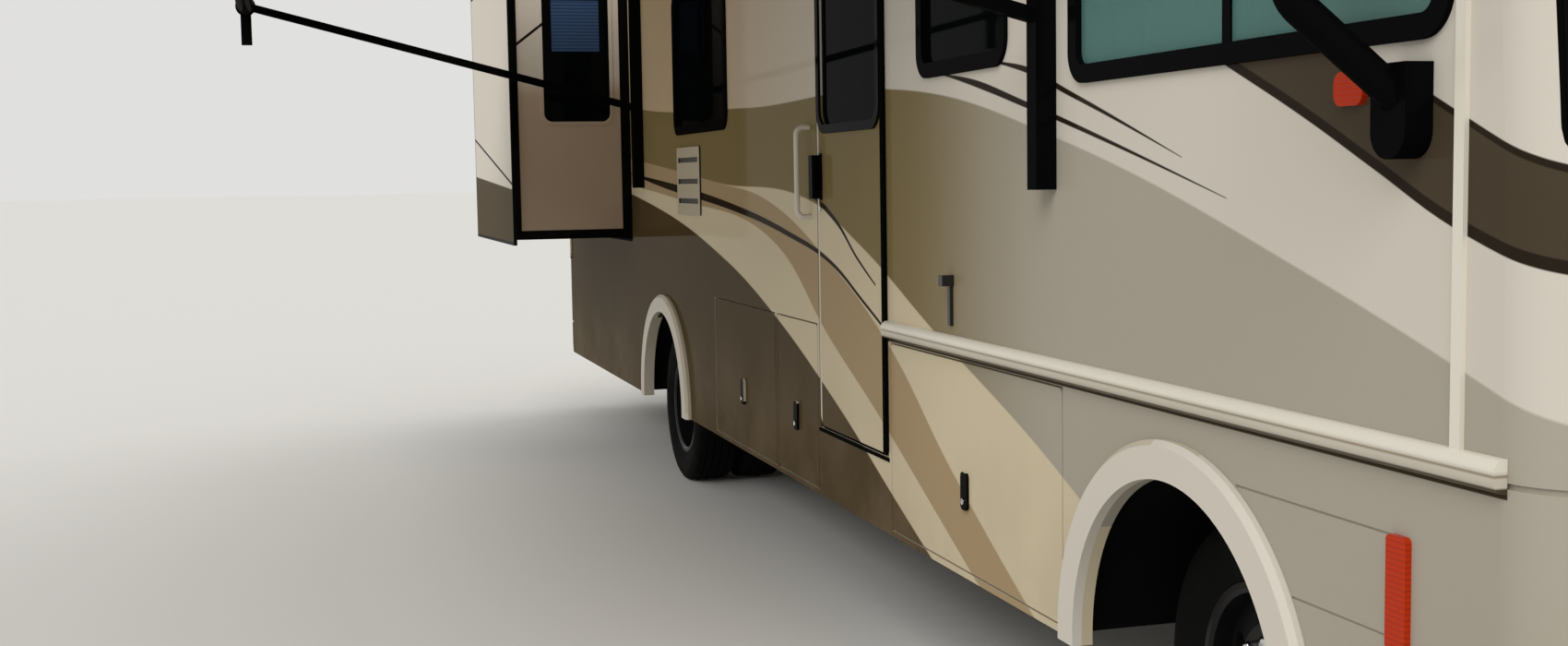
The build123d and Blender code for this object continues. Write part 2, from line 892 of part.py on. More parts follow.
# Extended rooms: a box open to the inside, with a flange round its outer end
for name, side, front, rear, low, high in slides:
    room_windows = street_room_windows if side == STREET else []
    end_wall_x = sorted(
        (side * (half_width + end_window_near), side * (half_width + end_window_far))
    )
    with BuildPart() as room:
        with BuildSketch(side_plane(side, -slide_reach, slide_depth)):
            patch(front, rear, low, high)
        extrude(amount=slide_depth)
        with BuildSketch(side_plane(side, -slide_reach, slide_flange_thickness)):
            patch(front - slide_flange, rear + slide_flange, low - slide_flange, high + slide_flange)
        extrude(amount=slide_flange_thickness)
        with BuildSketch(side_plane(side, slide_wall - slide_reach, slide_depth)):
            patch(front + slide_wall, rear - slide_wall, low + slide_wall, high - slide_wall)
        extrude(amount=slide_depth, mode=Mode.SUBTRACT)
        if room_windows:
            with BuildSketch(side_plane(side, -slide_reach, slide_wall)):
                for window_front, window_rear in room_windows:
                    patch(window_front, window_rear, street_room_window_low, street_room_window_high,
                          slide_window_corner)
            extrude(amount=slide_wall, mode=Mode.SUBTRACT)
            with BuildSketch(side_plane(side, -slide_reach - window_proud, window_proud)):
                for window_front, window_rear in room_windows:
                    ring(window_front, window_rear, street_room_window_low, street_room_window_high,
                         slide_window_corner, window_rim, 0)
            extrude(amount=window_proud)
        else:
            with BuildSketch(Plane.XZ.offset(-front - slide_wall)):
                patch(*end_wall_x, end_window_low, end_window_high, slide_window_corner)
            extrude(amount=slide_wall, mode=Mode.SUBTRACT)
            with BuildSketch(Plane.XZ.offset(-front)):
                ring(*end_wall_x, end_window_low, end_window_high, slide_window_corner, end_rim, 0)
            extrude(amount=end_rim_proud)
    room.part.label = name
    export_step(room.part, f"parts/{name}.step")
    with BuildPart() as room_glass:
        if room_windows:
            with BuildSketch(side_plane(side, glass_inset - slide_reach, glass_thickness)):
                for window_front, window_rear in room_windows:
                    patch(window_front, window_rear, street_room_window_low, street_room_window_high,
                          slide_window_corner)
        else:
            with BuildSketch(Plane.XZ.offset(-front - glass_inset - glass_thickness)):
                patch(*end_wall_x, end_window_low, end_window_high, slide_window_corner)
        extrude(amount=glass_thickness)
    room_glass.part.label = f"{name}_glass"
    export_step(room_glass.part, f"parts/{name}_glass.step")

# Belt moulding along each side and the upright moulding over each cap joint
with BuildPart() as belt_mouldings:
    for side in (CURB, STREET):
        with BuildSketch(side_plane(side, -belt_proud, belt_proud)):
            patch(belt_front, belt_rear, belt_z, belt_z + belt_height)
        extrude(amount=belt_proud)
    belt_edges = belt_mouldings.edges().filter_by(Axis.Y).filter_by(
        lambda edge: abs(edge.center().X) > half_width + belt_proud - 1
    )
    fillet(belt_edges, belt_proud * 0.8)
    for side in (CURB, STREET):
        with BuildSketch(side_plane(side, -seam_proud, seam_proud)):
            for seam_y in (front_seam, rear_seam):
                patch(seam_y - seam_half, seam_y + seam_half, belt_z, wall_top)
        extrude(amount=seam_proud)
belt_mouldings.part.label = "belt_mouldings"
export_step(belt_mouldings.part, "parts/belt_mouldings.step")

# Lamps: headlamps and tail lamps that fill their openings, and amber markers
with BuildPart() as lamps:
    for lamp_prism in headlamp_prisms:
        add(cap_layer(front_forms, lamp_inset, lamp_inset + lamp_depth, lamp_prism))
    for lamp_prism in front_clearance_prisms:
        add(cap_layer(front_forms, 0, cap_wall, lamp_prism))
    for lamp_prism in tail_lamp_prisms:
        add(cap_layer(rear_forms, lamp_inset, cap_wall, lamp_prism))
    for lamp_prism in rear_clearance_prisms:
        add(cap_layer(rear_forms, 0, cap_wall, lamp_prism))
    for side in (CURB, STREET):
        with BuildSketch(side_plane(side, -marker_out, marker_out)):
            patch(marker_front, marker_rear, marker_low, marker_high, marker_corner)
            patch(turn_lamp_front, turn_lamp_rear, turn_lamp_low, turn_lamp_high, turn_lamp_corner)
        extrude(amount=marker_out)
lamps.part.label = "lamps"
export_step(lamps.part, "parts/lamps.step")

# Chassis rails: two channels that open inwards
with BuildPart() as chassis_rails:
    for side in (CURB, STREET):
        outer_x = side * (rail_x + rail_width / 2)
        with BuildSketch(Plane.XZ.offset(-rail_rear)):
            with BuildLine():
                Polyline(
                    (outer_x, rail_low),
                    (outer_x, rail_high),
                    (outer_x - side * rail_width, rail_high),
                    (outer_x - side * rail_width, rail_high - rail_web),
                    (outer_x - side * rail_web, rail_high - rail_web),
                    (outer_x - side * rail_web, rail_low + rail_web),
                    (outer_x - side * rail_width, rail_low + rail_web),
                    (outer_x - side * rail_width, rail_low),
                    close=True,
                )
            make_face()
        extrude(amount=rail_rear - rail_front)
chassis_rails.part.label = "chassis_rails"
export_step(chassis_rails.part, "parts/chassis_rails.step")

# Cross members between the webs of the rails
with BuildPart() as cross_members:
    for cross_y in cross_places:
        with Locations((0, cross_y, (rail_low + rail_high) / 2 + cross_lift)):
            Box(2 * rail_x + rail_width - 2 * rail_web, cross_width, cross_height)
cross_members.part.label = "cross_members"
export_step(cross_members.part, "parts/cross_members.step")

# Risers that carry the floor above the rails
with BuildPart() as floor_risers:
    for riser_y in riser_places:
        for side in (CURB, STREET):
            with Locations((side * rail_x, riser_y, (rail_high + floor_bottom) / 2)):
                Box(riser_size, riser_size, floor_bottom - rail_high)
floor_risers.part.label = "floor_risers"
export_step(floor_risers.part, "parts/floor_risers.step")

# Hitch receiver: a cross tube under the rails and the square socket with its pin hole
with BuildPart() as hitch_receiver:
    with Locations((0, hitch_rear - hitch_length, hitch_z)):
        Box(2 * rail_x + rail_width, hitch_outer, hitch_outer)
    with Locations((0, hitch_rear - hitch_length / 2, hitch_z)):
        Box(hitch_outer, hitch_length, hitch_outer)
    with Locations((0, hitch_rear - hitch_depth / 2 + 1, hitch_z)):
        Box(hitch_inner, hitch_depth + 2, hitch_inner, mode=Mode.SUBTRACT)
    with Locations((0, hitch_rear - hitch_pin_from_end, hitch_z)):
        Cylinder(hitch_pin_radius, hitch_outer + 2, rotation=(0, 90, 0), mode=Mode.SUBTRACT)
hitch_receiver.part.label = "hitch_receiver"
export_step(hitch_receiver.part, "parts/hitch_receiver.step")

# Leaf springs over the axles, hung from the rails by an eye bracket and a shackle
with BuildPart() as suspension:
    for axle_y, seat_z in ((front_axle_y, front_beam_top), (rear_axle_y, axle_z + axle_tube_radius)):
        for side in (CURB, STREET):
            with BuildSketch(Plane.YZ.offset(side * spring_x - spring_width / 2)):
                for leaf in range(leaf_count):
                    half = spring_half * (1 - 0.22 * leaf)
                    with Locations((axle_y, seat_z + leaf_thickness * (leaf_count - leaf - 0.5))):
                        Rectangle(2 * half, leaf_thickness)
                for end in (FRONT, REAR):
                    eye_y = axle_y + end * (spring_half - 30)
                    eye_low = seat_z + leaf_thickness * leaf_count
                    patch(eye_y - 30, eye_y + 30, eye_low, rail_low)
            extrude(amount=spring_width)
suspension.part.label = "suspension"
export_step(suspension.part, "parts/suspension.step")

# Front axle: a dropped beam with a boss and kingpin at each end
with BuildPart() as front_axle:
    with BuildSketch(Plane.XZ.offset(-front_axle_y - front_beam_width / 2)):
        with BuildLine():
            Polyline(
                (-kingpin_x, axle_z + 38),
                (-kingpin_x + 110, axle_z + 38),
                (-kingpin_x + 190, front_beam_top),
                (kingpin_x - 190, front_beam_top),
                (kingpin_x - 110, axle_z + 38),
                (kingpin_x, axle_z + 38),
                (kingpin_x, axle_z - 42),
                (kingpin_x - 120, axle_z - 42),
                (kingpin_x - 230, front_beam_low),
                (-kingpin_x + 230, front_beam_low),
                (-kingpin_x + 120, axle_z - 42),
                (-kingpin_x, axle_z - 42),
                close=True,
            )
        make_face()
    extrude(amount=front_beam_width)
    with Locations((-kingpin_x, front_axle_y, axle_z), (kingpin_x, front_axle_y, axle_z)):
        Cylinder(boss_radius, 2 * boss_half)
        Cylinder(kingpin_radius, 2 * (boss_half + ear_gap + ear_thickness))
front_axle.part.label = "front_axle"
export_step(front_axle.part, "parts/front_axle.step")

# Steering knuckles: two ears on the kingpin, a plate outboard of it and the wheel spindle
for side, name in ((CURB, "curb_knuckle"), (STREET, "street_knuckle")):
    with BuildPart() as knuckle:
        ear_z = boss_half + ear_gap + ear_thickness / 2
        for level in (-ear_z, ear_z):
            with Locations((side * kingpin_x, front_axle_y, axle_z + level)):
                Cylinder(boss_radius, ear_thickness)
            with Locations((side * (kingpin_x + knuckle_reach / 2), front_axle_y, axle_z + level)):
                Box(knuckle_reach, 2 * boss_radius - 10, ear_thickness)
        with Locations((side * (kingpin_x + knuckle_reach), front_axle_y, axle_z)):
            Box(knuckle_plate, 2 * boss_radius - 10, 2 * ear_z + ear_thickness)
        with Locations((side * (kingpin_x + (knuckle_reach + spindle_reach) / 2), front_axle_y, axle_z)):
            Cylinder(spindle_radius, spindle_reach - knuckle_reach, rotation=(0, 90, 0))
        with Locations((side * kingpin_x, front_axle_y, axle_z)):
            Cylinder(kingpin_radius + running_gap, 4 * ear_z, mode=Mode.SUBTRACT)
    knuckle.part.label = name
    export_step(knuckle.part, f"parts/{name}.step")

# Rear axle: a tube through both hubs and the differential housing
with BuildPart() as rear_axle:
    with Locations((0, rear_axle_y, axle_z)):
        Cylinder(axle_tube_radius, 2 * rear_tube_reach, rotation=(0, 90, 0))
        Sphere(differential_radius)
    with Locations((0, rear_axle_y - differential_radius, axle_z)):
        Cylinder(pinion_radius, 2 * pinion_half, rotation=(90, 0, 0))
    for side in (CURB, STREET):
        with Locations((side * spring_x, rear_axle_y, axle_z + axle_tube_radius - spring_pad / 2)):
            Box(spring_width, 2 * spring_pad, spring_pad)
rear_axle.part.label = "rear_axle"
export_step(rear_axle.part, "parts/rear_axle.step")

# Engine as one block at its real place and size
with BuildPart() as engine_block:
    with Locations((0, (engine_front + engine_rear) / 2, (engine_low + engine_high) / 2)):
        Box(2 * engine_half, engine_rear - engine_front, engine_high - engine_low)
engine_block.part.label = "engine_block"
export_step(engine_block.part, "parts/engine_block.step")


def tyre(center_x, center_y):
    """Solid of one tyre by turning half its section: bead, bulged wall, shoulder, crown."""
    with BuildPart() as body:
        with BuildSketch(Plane.XY):
            with BuildLine():
                Line((-bead_half, bead_radius), (bead_half, bead_radius))
                Line((bead_half, bead_radius), (bead_half + 4, flange_radius + 4))
                ThreePointArc(
                    (bead_half + 4, flange_radius + 4),
                    (tyre_half, (flange_radius + tyre_radius) / 2),
                    (tread_half + 6, tyre_radius - 16),
                )
                Line((tread_half + 6, tyre_radius - 16), (tread_half - 8, tyre_radius))
                Line((tread_half - 8, tyre_radius), (-tread_half + 8, tyre_radius))
                Line((-tread_half + 8, tyre_radius), (-tread_half - 6, tyre_radius - 16))
                ThreePointArc(
                    (-tread_half - 6, tyre_radius - 16),
                    (-tyre_half, (flange_radius + tyre_radius) / 2),
                    (-bead_half - 4, flange_radius + 4),
                )
                Line((-bead_half - 4, flange_radius + 4), (-bead_half, bead_radius))
            make_face()
        revolve(axis=Axis.X)
    return Location((center_x, center_y, axle_z)) * body.part


def barrel(center):
    """Section of a rim barrel: flanges at both edges and the bead seat between them."""
    return [
        (center - flange_half, barrel_inner + 10),
        (center - flange_half, flange_radius),
        (center - bead_half - 4.5, flange_radius),
        (center - bead_half - 4.5, bead_radius - 0.3),
        (center + bead_half + 4.5, bead_radius - 0.3),
        (center + bead_half + 4.5, flange_radius),
        (center + flange_half, flange_radius),
        (center + flange_half, barrel_inner + 10),
        (center + flange_half - 8, barrel_inner),
        (center - flange_half + 8, barrel_inner),
    ]


def rim(sections, bore_radius, bore_low, bore_high, stud_face):
    """Barrel, disc and hub turned from their sections, with hand holes and wheel nuts."""
    with BuildPart() as body:
        with BuildSketch(Plane.XY):
            for section in sections:
                with BuildLine():
                    Polyline(*section, close=True)
                make_face()
        revolve(axis=Axis.X)
        with Locations(Plane.YZ.offset(stud_face)):
            with PolarLocations(hand_hole_circle, stud_count, start_angle=180 / stud_count):
                Cylinder(hand_hole_radius, 4 * bead_half, mode=Mode.SUBTRACT)
        with Locations(Plane.YZ.offset(stud_face + stud_length / 2)):
            with PolarLocations(stud_circle, stud_count):
                Cylinder(stud_radius, stud_length)
        with Locations(Plane.YZ.offset((bore_low + bore_high) / 2)):
            Cylinder(bore_radius, bore_high - bore_low, mode=Mode.SUBTRACT)
    return body.part


# Front rim: the disc bulges outwards to the hub
front_disc_face = 52
front_disc = [
    (18, bead_radius - 8),
    (34, bead_radius - 8),
    (front_disc_face, 160),
    (front_disc_face, hub_radius),
    (hub_front - 12, hub_radius - 6),
    (hub_front, hub_radius - 24),
    (hub_front, 0),
    (front_disc_face - disc_thickness, 0),
    (front_disc_face - disc_thickness, 150),
]
front_rim = rim([barrel(0), front_disc], spindle_radius + running_gap, 30, 90, front_disc_face)

# Rear rims: two discs back to back on one hub, the outer one dished inwards
half_spacing = dual_spacing / 2
dish = [
    (half_spacing - 64, bead_radius - 8),
    (half_spacing - 50, bead_radius - 8),
    (disc_thickness, 165),
    (disc_thickness, 0),
    (0, 0),
    (0, 165),
]
rear_hub = [
    (-75, hub_radius + 18),
    (hub_rear - 18, hub_radius + 6),
    (hub_rear, hub_radius - 20),
    (hub_rear, 0),
    (-75, 0),
]
rear_sections = [
    barrel(half_spacing),
    dish,
    [(-x, radius) for x, radius in dish],
    barrel(-half_spacing),
    rear_hub,
]
rear_rim = rim(rear_sections, axle_tube_radius + running_gap, -80, 140, disc_thickness)

# Every wheel: its tyres in one piece and its rim in another
rear_middle = rear_tyre_x - half_spacing
wheels = [
    ("front_curb", CURB, front_axle_y, front_tyre_x, [0], front_rim),
    ("front_street", STREET, front_axle_y, front_tyre_x, [0], front_rim),
    ("rear_curb", CURB, rear_axle_y, rear_middle, [-half_spacing, half_spacing], rear_rim),
    ("rear_street", STREET, rear_axle_y, rear_middle, [-half_spacing, half_spacing], rear_rim),
]
for name, side, axle_y, wheel_center, tyre_places, wheel_rim_body in wheels:
    with BuildPart() as tyres:
        for place in tyre_places:
            add(tyre(side * (wheel_center + place), axle_y))
    tyres.part.label = f"{name}_tyre"
    export_step(tyres.part, f"parts/{name}_tyre.step")
    with BuildPart() as wheel_body:
        turn = Rot(0, 0, 0 if side == STREET else 180)
        add(Location((side * wheel_center, axle_y, axle_z)) * turn * wheel_rim_body)
    wheel_body.part.label = f"{name}_rim"
    export_step(wheel_body.part, f"parts/{name}_rim.step")

# Gearbox and propeller shaft down to the rear axle
shaft_start = Vector(0, gearbox_rear, gearbox_z)
shaft_end = Vector(0, rear_axle_y - differential_radius - pinion_half - 4, axle_z)
with BuildPart() as driveline:
    with BuildSketch(Plane.XZ.offset(-engine_rear)):
        with Locations((0, gearbox_z)):
            Circle(gearbox_radius)
    with BuildSketch(Plane.XZ.offset(-gearbox_rear)):
        with Locations((0, gearbox_z)):
            Circle(gearbox_radius * 0.55)
    loft(ruled=True)
    with BuildSketch(Plane(origin=shaft_start, z_dir=shaft_end - shaft_start)):
        Circle(shaft_radius)
    extrude(amount=(shaft_end - shaft_start).length - shaft_radius * 0.03)
driveline.part.label = "driveline"
export_step(driveline.part, "parts/driveline.step")

# Exhaust: one pipe along the chassis with its muffler
with BuildPart() as exhaust:
    with BuildSketch(Plane.XZ.offset(-exhaust_rear)):
        with Locations((exhaust_x, exhaust_z)):
            Circle(exhaust_radius)
    extrude(amount=exhaust_rear - exhaust_front)
    with BuildSketch(Plane.XZ.offset(-muffler_rear)):
        with Locations((exhaust_x, exhaust_z)):
            Circle(muffler_radius)
    extrude(amount=muffler_rear - muffler_front)
exhaust.part.label = "exhaust"
export_step(exhaust.part, "parts/exhaust.step")

# Fuel tank between the rails behind the rear axle
with BuildPart() as fuel_tank:
    with BuildSketch(Plane.XZ.offset(-tank_rear)):
        patch(tank_curb_x, tank_street_x, tank_low, tank_high, tank_round)
    extrude(amount=tank_rear - tank_front)
fuel_tank.part.label = "fuel_tank"
export_step(fuel_tank.part, "parts/fuel_tank.step")

# Dashboard with the steering column and wheel
with BuildPart() as dashboard:
    with BuildSketch(Plane.YZ.offset(-dash_half)):
        with BuildLine():
            Polyline(
                (dash_rear, floor_top),
                (dash_rear + 60, dash_top - 120),
                (dash_rear - 40, dash_top),
                (dash_front, dash_top + 60),
                (dash_front, floor_top),
                close=True,
            )
        make_face()
    extrude(amount=2 * dash_half)
    wheel_plane = Plane(
        origin=(wheel_x, wheel_y, wheel_z),
        x_dir=(1, 0, 0),
        z_dir=(0, cos(radians(wheel_tilt)), sin(radians(wheel_tilt))),
    )
    with BuildSketch(wheel_plane):
        Circle(wheel_rim * 2)
    extrude(amount=-360)
    with BuildSketch(wheel_plane):
        Circle(wheel_radius + wheel_rim)
        Circle(wheel_radius - wheel_rim, mode=Mode.SUBTRACT)
        Rectangle(2 * wheel_radius, 2 * wheel_rim)
        with Locations((0, -wheel_radius / 2)):
            Rectangle(2 * wheel_rim, wheel_radius)
    extrude(amount=wheel_rim)
dashboard.part.label = "dashboard"
export_step(dashboard.part, "parts/dashboard.step")

# Two cab seats on their pedestals
with BuildPart() as cab_seats:
    for side in (CURB, STREET):
        with BuildSketch(Plane.XY.offset(floor_top)):
            with Locations((side * seat_x, seat_y)):
                RectangleRounded(pedestal, pedestal, 40)
        extrude(amount=seat_height - cushion_thickness)
        with BuildSketch(Plane.XY.offset(floor_top + seat_height - cushion_thickness)):
            with Locations((side * seat_x, seat_y)):
                RectangleRounded(seat_width, seat_depth, 70)
        extrude(amount=cushion_thickness)
        back_plane = Plane(
            origin=(side * seat_x, seat_y + seat_depth / 2 - 70, floor_top + seat_height - 40),
            x_dir=(1, 0, 0),
            z_dir=(0, sin(radians(back_tilt)), cos(radians(back_tilt))),
        )
        with BuildSketch(back_plane):
            RectangleRounded(seat_width - 40, back_thickness, 50)
        extrude(amount=back_height)
cab_seats.part.label = "cab_seats"
export_step(cab_seats.part, "parts/cab_seats.step")

# Roof air conditioners and vents, their bases cut to the crown of the roof
with BuildPart() as roof_units:
    for fittings, edge in ((cooler_units, unit_edge), (roof_vents, vent_edge)):
        for front, rear, half, height in fittings:
            with BuildPart(mode=Mode.PRIVATE) as unit:
                with BuildSketch(Plane.XY.offset(roof_top - unit_sink)):
                    with Locations((0, (front + rear) / 2)):
                        RectangleRounded(2 * half, rear - front, unit_corner)
                extrude(amount=height + unit_sink, taper=unit_taper)
                fillet(unit.edges().group_by(Axis.Z)[-1], edge)
            add(unit.part)
    add(roof.part, mode=Mode.SUBTRACT)
roof_units.part.label = "roof_units"
export_step(roof_units.part, "parts/roof_units.step")

# Ladder: two bent rails hooked over the roof edge, rungs between them, stand-offs to the cap
with BuildPart() as ladder:
    for rail_place in ladder_x:
        with BuildLine() as rail_line:
            FilletPolyline(
                (rail_place, ladder_y, ladder_low),
                (rail_place, ladder_y, ladder_high),
                (rail_place, ladder_hook_y, ladder_high),
                (rail_place, ladder_hook_y, roof_top - 20),
                radius=ladder_bend,
            )
        with BuildSketch(Plane(origin=rail_line.line @ 0, z_dir=rail_line.line % 0)):
            Circle(ladder_tube)
        sweep(path=rail_line.line)
        for standoff_z in (ladder_low + 60, 1800, 2850):
            with Locations((rail_place, ladder_y - 100, standoff_z)):
                Cylinder(rung_radius, 200, rotation=(90, 0, 0))
    rung_span = ladder_x[1] - ladder_x[0]
    for rung in range(rung_count):
        with Locations((sum(ladder_x) / 2, ladder_y, ladder_low + 80 + rung * rung_pitch)):
            Cylinder(rung_radius, rung_span, rotation=(0, 90, 0))
    add(rear_forms[0], mode=Mode.SUBTRACT)
ladder.part.label = "ladder"
export_step(ladder.part, "parts/ladder.step")

# Mirrors: base on the wall, bent arm and head, one each side
with BuildPart() as mirrors:
    for side in (CURB, STREET):
        base_out, base_length, base_height = mirror_base
        with BuildSketch(side_plane(side, -base_out, base_out)):
            with Locations((mirror_base_y, mirror_base_z)):
                SlotCenterToCenter(base_height - base_length, base_length, rotation=90)
            patch(
                mirror_base_y - base_length / 2,
                mirror_base_y + base_length / 2,
                mirror_base_z,
                mirror_base_z + base_height / 2,
            )
        extrude(amount=base_out)
        start = (side * (half_width + base_out / 2), mirror_base_y, mirror_base_z + mirror_base_lift)
        elbow = (
            side * (half_width + mirror_elbow[0]),
            mirror_base_y + mirror_elbow[1],
            mirror_base_z + mirror_elbow[2],
        )
        top = (
            side * (half_width + mirror_top[0]),
            mirror_base_y + mirror_top[1],
            mirror_base_z + mirror_top[2],
        )
        with BuildLine() as arm_line:
            FilletPolyline(start, elbow, top, radius=mirror_bend)
        with BuildSketch(Plane(origin=arm_line.line @ 0, z_dir=arm_line.line % 0)):
            Circle(mirror_arm_radius)
        sweep(path=arm_line.line)
        head_width, head_depth, head_height = mirror_head
        with BuildPart(mode=Mode.PRIVATE) as head:
            with BuildSketch(Plane.XY.offset(top[2] - mirror_arm_radius)):
                with Locations((top[0] + side * mirror_head_out, top[1])):
                    RectangleRounded(head_width, head_depth, mirror_round)
            extrude(amount=head_height)
            fillet(head.edges().group_by(Axis.Z)[0] + head.edges().group_by(Axis.Z)[-1], mirror_edge)
        add(head.part)
mirrors.part.label = "mirrors"
export_step(mirrors.part, "parts/mirrors.step")

# Fittings on the curb wall: a louvred vent, the door's hold-back catch and an assist bar
with BuildPart() as wall_fittings:
    with BuildSketch(side_plane(CURB, -vent_proud, vent_proud)):
        patch(vent_front, vent_rear, vent_low, vent_high, vent_corner)
    extrude(amount=vent_proud)
    with BuildSketch(side_plane(CURB, -vent_proud, vent_slot_depth)):
        for slot_z in vent_slots:
            patch(
                vent_front + vent_margin,
                vent_rear - vent_margin,
                slot_z - vent_slot_height / 2,
                slot_z + vent_slot_height / 2,
            )
    extrude(amount=vent_slot_depth, mode=Mode.SUBTRACT)
    with BuildSketch(side_plane(CURB, -catch_proud, catch_proud)):
        patch(catch_y - catch_width / 2, catch_y + catch_width / 2, catch_low, catch_high)
    extrude(amount=catch_proud)
    with BuildSketch(side_plane(CURB, -catch_head_proud, catch_head_proud)):
        patch(catch_y - catch_head / 2, catch_y + catch_head / 2, catch_high - catch_head, catch_high)
    extrude(amount=catch_head_proud)
    with BuildLine() as bar_line:
        FilletPolyline(
            (-half_width, bar_y, bar_low + bar_radius),
            (-half_width - bar_out, bar_y, bar_low + bar_radius),
            (-half_width - bar_out, bar_y, bar_high - bar_radius),
            (-half_width, bar_y, bar_high - bar_radius),
            radius=bar_bend,
        )
    with BuildSketch(Plane(origin=bar_line.line @ 0, z_dir=bar_line.line % 0)):
        Circle(bar_radius)
    sweep(path=bar_line.line)
wall_fittings.part.label = "wall_fittings"
export_step(wall_fittings.part, "parts/wall_fittings.step")

# Awning: upright channels and a rail on the wall
with BuildPart() as awning_channels:
    with BuildSketch(side_plane(CURB, -channel_size, channel_size)):
        for place in (awning_front, awning_rear):
            patch(place - channel_size / 2, place + channel_size / 2, channel_low, channel_high)
    extrude(amount=channel_size)
    with BuildSketch(side_plane(CURB, -awning_rail_size, awning_rail_size)):
        patch(
            awning_front + channel_size / 2 + 2,
            awning_rear - channel_size / 2 - 2,
            awning_rail_z,
            awning_rail_z + awning_rail_size,
        )
    extrude(amount=awning_rail_size)
awning_channels.part.label = "awning_channels"
export_step(awning_channels.part, "parts/awning_channels.step")

# Awning arms from the channels up to the ends of the roller
arm_root_x = -half_width - channel_size
with BuildPart() as awning_arms:
    for place in (awning_front, awning_rear):
        with BuildSketch(Plane.XZ.offset(-place - arm_width / 2)):
            with BuildLine():
                Polyline(
                    (arm_root_x, arm_pivot_z - arm_depth / 2),
                    (arm_root_x, arm_pivot_z + arm_depth / 2),
                    (-roller_x, roller_z + arm_depth / 2),
                    (-roller_x, roller_z - arm_depth / 2),
                    close=True,
                )
            make_face()
            with Locations((-roller_x, roller_z)):
                Circle(roller_radius + 8)
            patch(
                -roller_x - arm_foot_width / 2,
                -roller_x + arm_foot_width / 2,
                arm_foot_low,
                roller_z,
            )
        extrude(amount=arm_width)
awning_arms.part.label = "awning_arms"
export_step(awning_arms.part, "parts/awning_arms.step")

with BuildPart() as awning_roller:
    with BuildSketch(Plane.XZ.offset(-awning_rear + arm_width / 2)):
        with Locations((-roller_x, roller_z)):
            Circle(roller_radius)
    extrude(amount=awning_rear - awning_front - arm_width)
awning_roller.part.label = "awning_roller"
export_step(awning_roller.part, "parts/awning_roller.step")

# Awning fabric, from the wall rail down to the top of the roller, sagging a little
fabric_start_x = -half_width - awning_rail_size
fabric_start_z = awning_rail_z + awning_rail_size / 2
fabric_end_z = roller_z + roller_radius + 1
with BuildPart() as awning_fabric:
    with BuildSketch(Plane.XZ.offset(-awning_rear + channel_size)):
        with BuildLine():
            middle = (
                (fabric_start_x - roller_x) / 2,
                (fabric_start_z + fabric_end_z) / 2 - fabric_sag,
            )
            ThreePointArc((fabric_start_x, fabric_start_z), middle, (-roller_x, fabric_end_z))
            Line((-roller_x, fabric_end_z), (-roller_x, fabric_end_z + fabric_thickness))
            ThreePointArc(
                (-roller_x, fabric_end_z + fabric_thickness),
                (middle[0], middle[1] + fabric_thickness),
                (fabric_start_x, fabric_start_z + fabric_thickness),
            )
            Line((fabric_start_x, fabric_start_z + fabric_thickness), (fabric_start_x, fabric_start_z))
        make_face()
    extrude(amount=awning_rear - awning_front - 2 * channel_size)
awning_fabric.part.label = "awning_fabric"
export_step(awning_fabric.part, "parts/awning_fabric.step")
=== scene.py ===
# %% [markdown]
# # A parked motorhome, dressed around a fixed frame
# The frame is the coach as its builder would bolt it together, at its real size. This lesson gives
# every surface its finish and adds what is too soft or too small for the frame: cloth, seats, seals
# and tread.

# %% Load the frame
import math

import bpy
from mathutils import Matrix, Vector


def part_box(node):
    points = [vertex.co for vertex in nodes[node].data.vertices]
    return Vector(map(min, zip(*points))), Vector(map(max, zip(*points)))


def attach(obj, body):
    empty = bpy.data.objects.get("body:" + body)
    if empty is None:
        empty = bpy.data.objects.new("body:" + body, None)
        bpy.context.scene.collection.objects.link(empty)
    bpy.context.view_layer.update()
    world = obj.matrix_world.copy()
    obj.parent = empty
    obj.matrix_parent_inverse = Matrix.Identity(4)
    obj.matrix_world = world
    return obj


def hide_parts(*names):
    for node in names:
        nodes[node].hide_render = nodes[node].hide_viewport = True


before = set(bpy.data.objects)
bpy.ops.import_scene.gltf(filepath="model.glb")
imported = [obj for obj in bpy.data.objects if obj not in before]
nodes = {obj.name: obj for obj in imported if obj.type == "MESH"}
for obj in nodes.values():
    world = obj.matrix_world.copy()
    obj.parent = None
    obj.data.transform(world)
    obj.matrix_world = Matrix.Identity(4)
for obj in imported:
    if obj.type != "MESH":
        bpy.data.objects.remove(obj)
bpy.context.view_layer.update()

# %% [markdown]
# ## Sizes taken from the frame
# Every later step needs a few edges of the coach. They are read from the frame's own boxes, so that
# seals and stripes follow a frame of another size.

# %% Read the coach's main sizes
sides = {"curb": -1, "street": 1}
wall_low, wall_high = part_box("street_wall")
half_width = wall_high.x
lids = [f"curb_bay_door_{part}" for part in ("front", "middle", "rear")]
lids += [f"street_bay_door_{part}" for part in ("front", "rear")]
belt_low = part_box("belt_mouldings")[0]
door_low, door_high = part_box("entry_door")
latch = Vector((-half_width, door_high.y - 0.040, 1.685))
print(f"half width {half_width:.3f} m, {len(lids)} lids")

# %% [markdown]
# ## Camera
# The photograph was taken at eye height, ahead of the coach and close to its curb side, with the
# camera tilted down a little and not quite level. The small roll makes the upright joints lean as
# they do in the picture.

# %% Place the camera
def add_object(name, data):
    """An object for some data, linked to the scene."""
    thing = bpy.data.objects.new(name, data)
    bpy.context.scene.collection.objects.link(thing)
    return thing


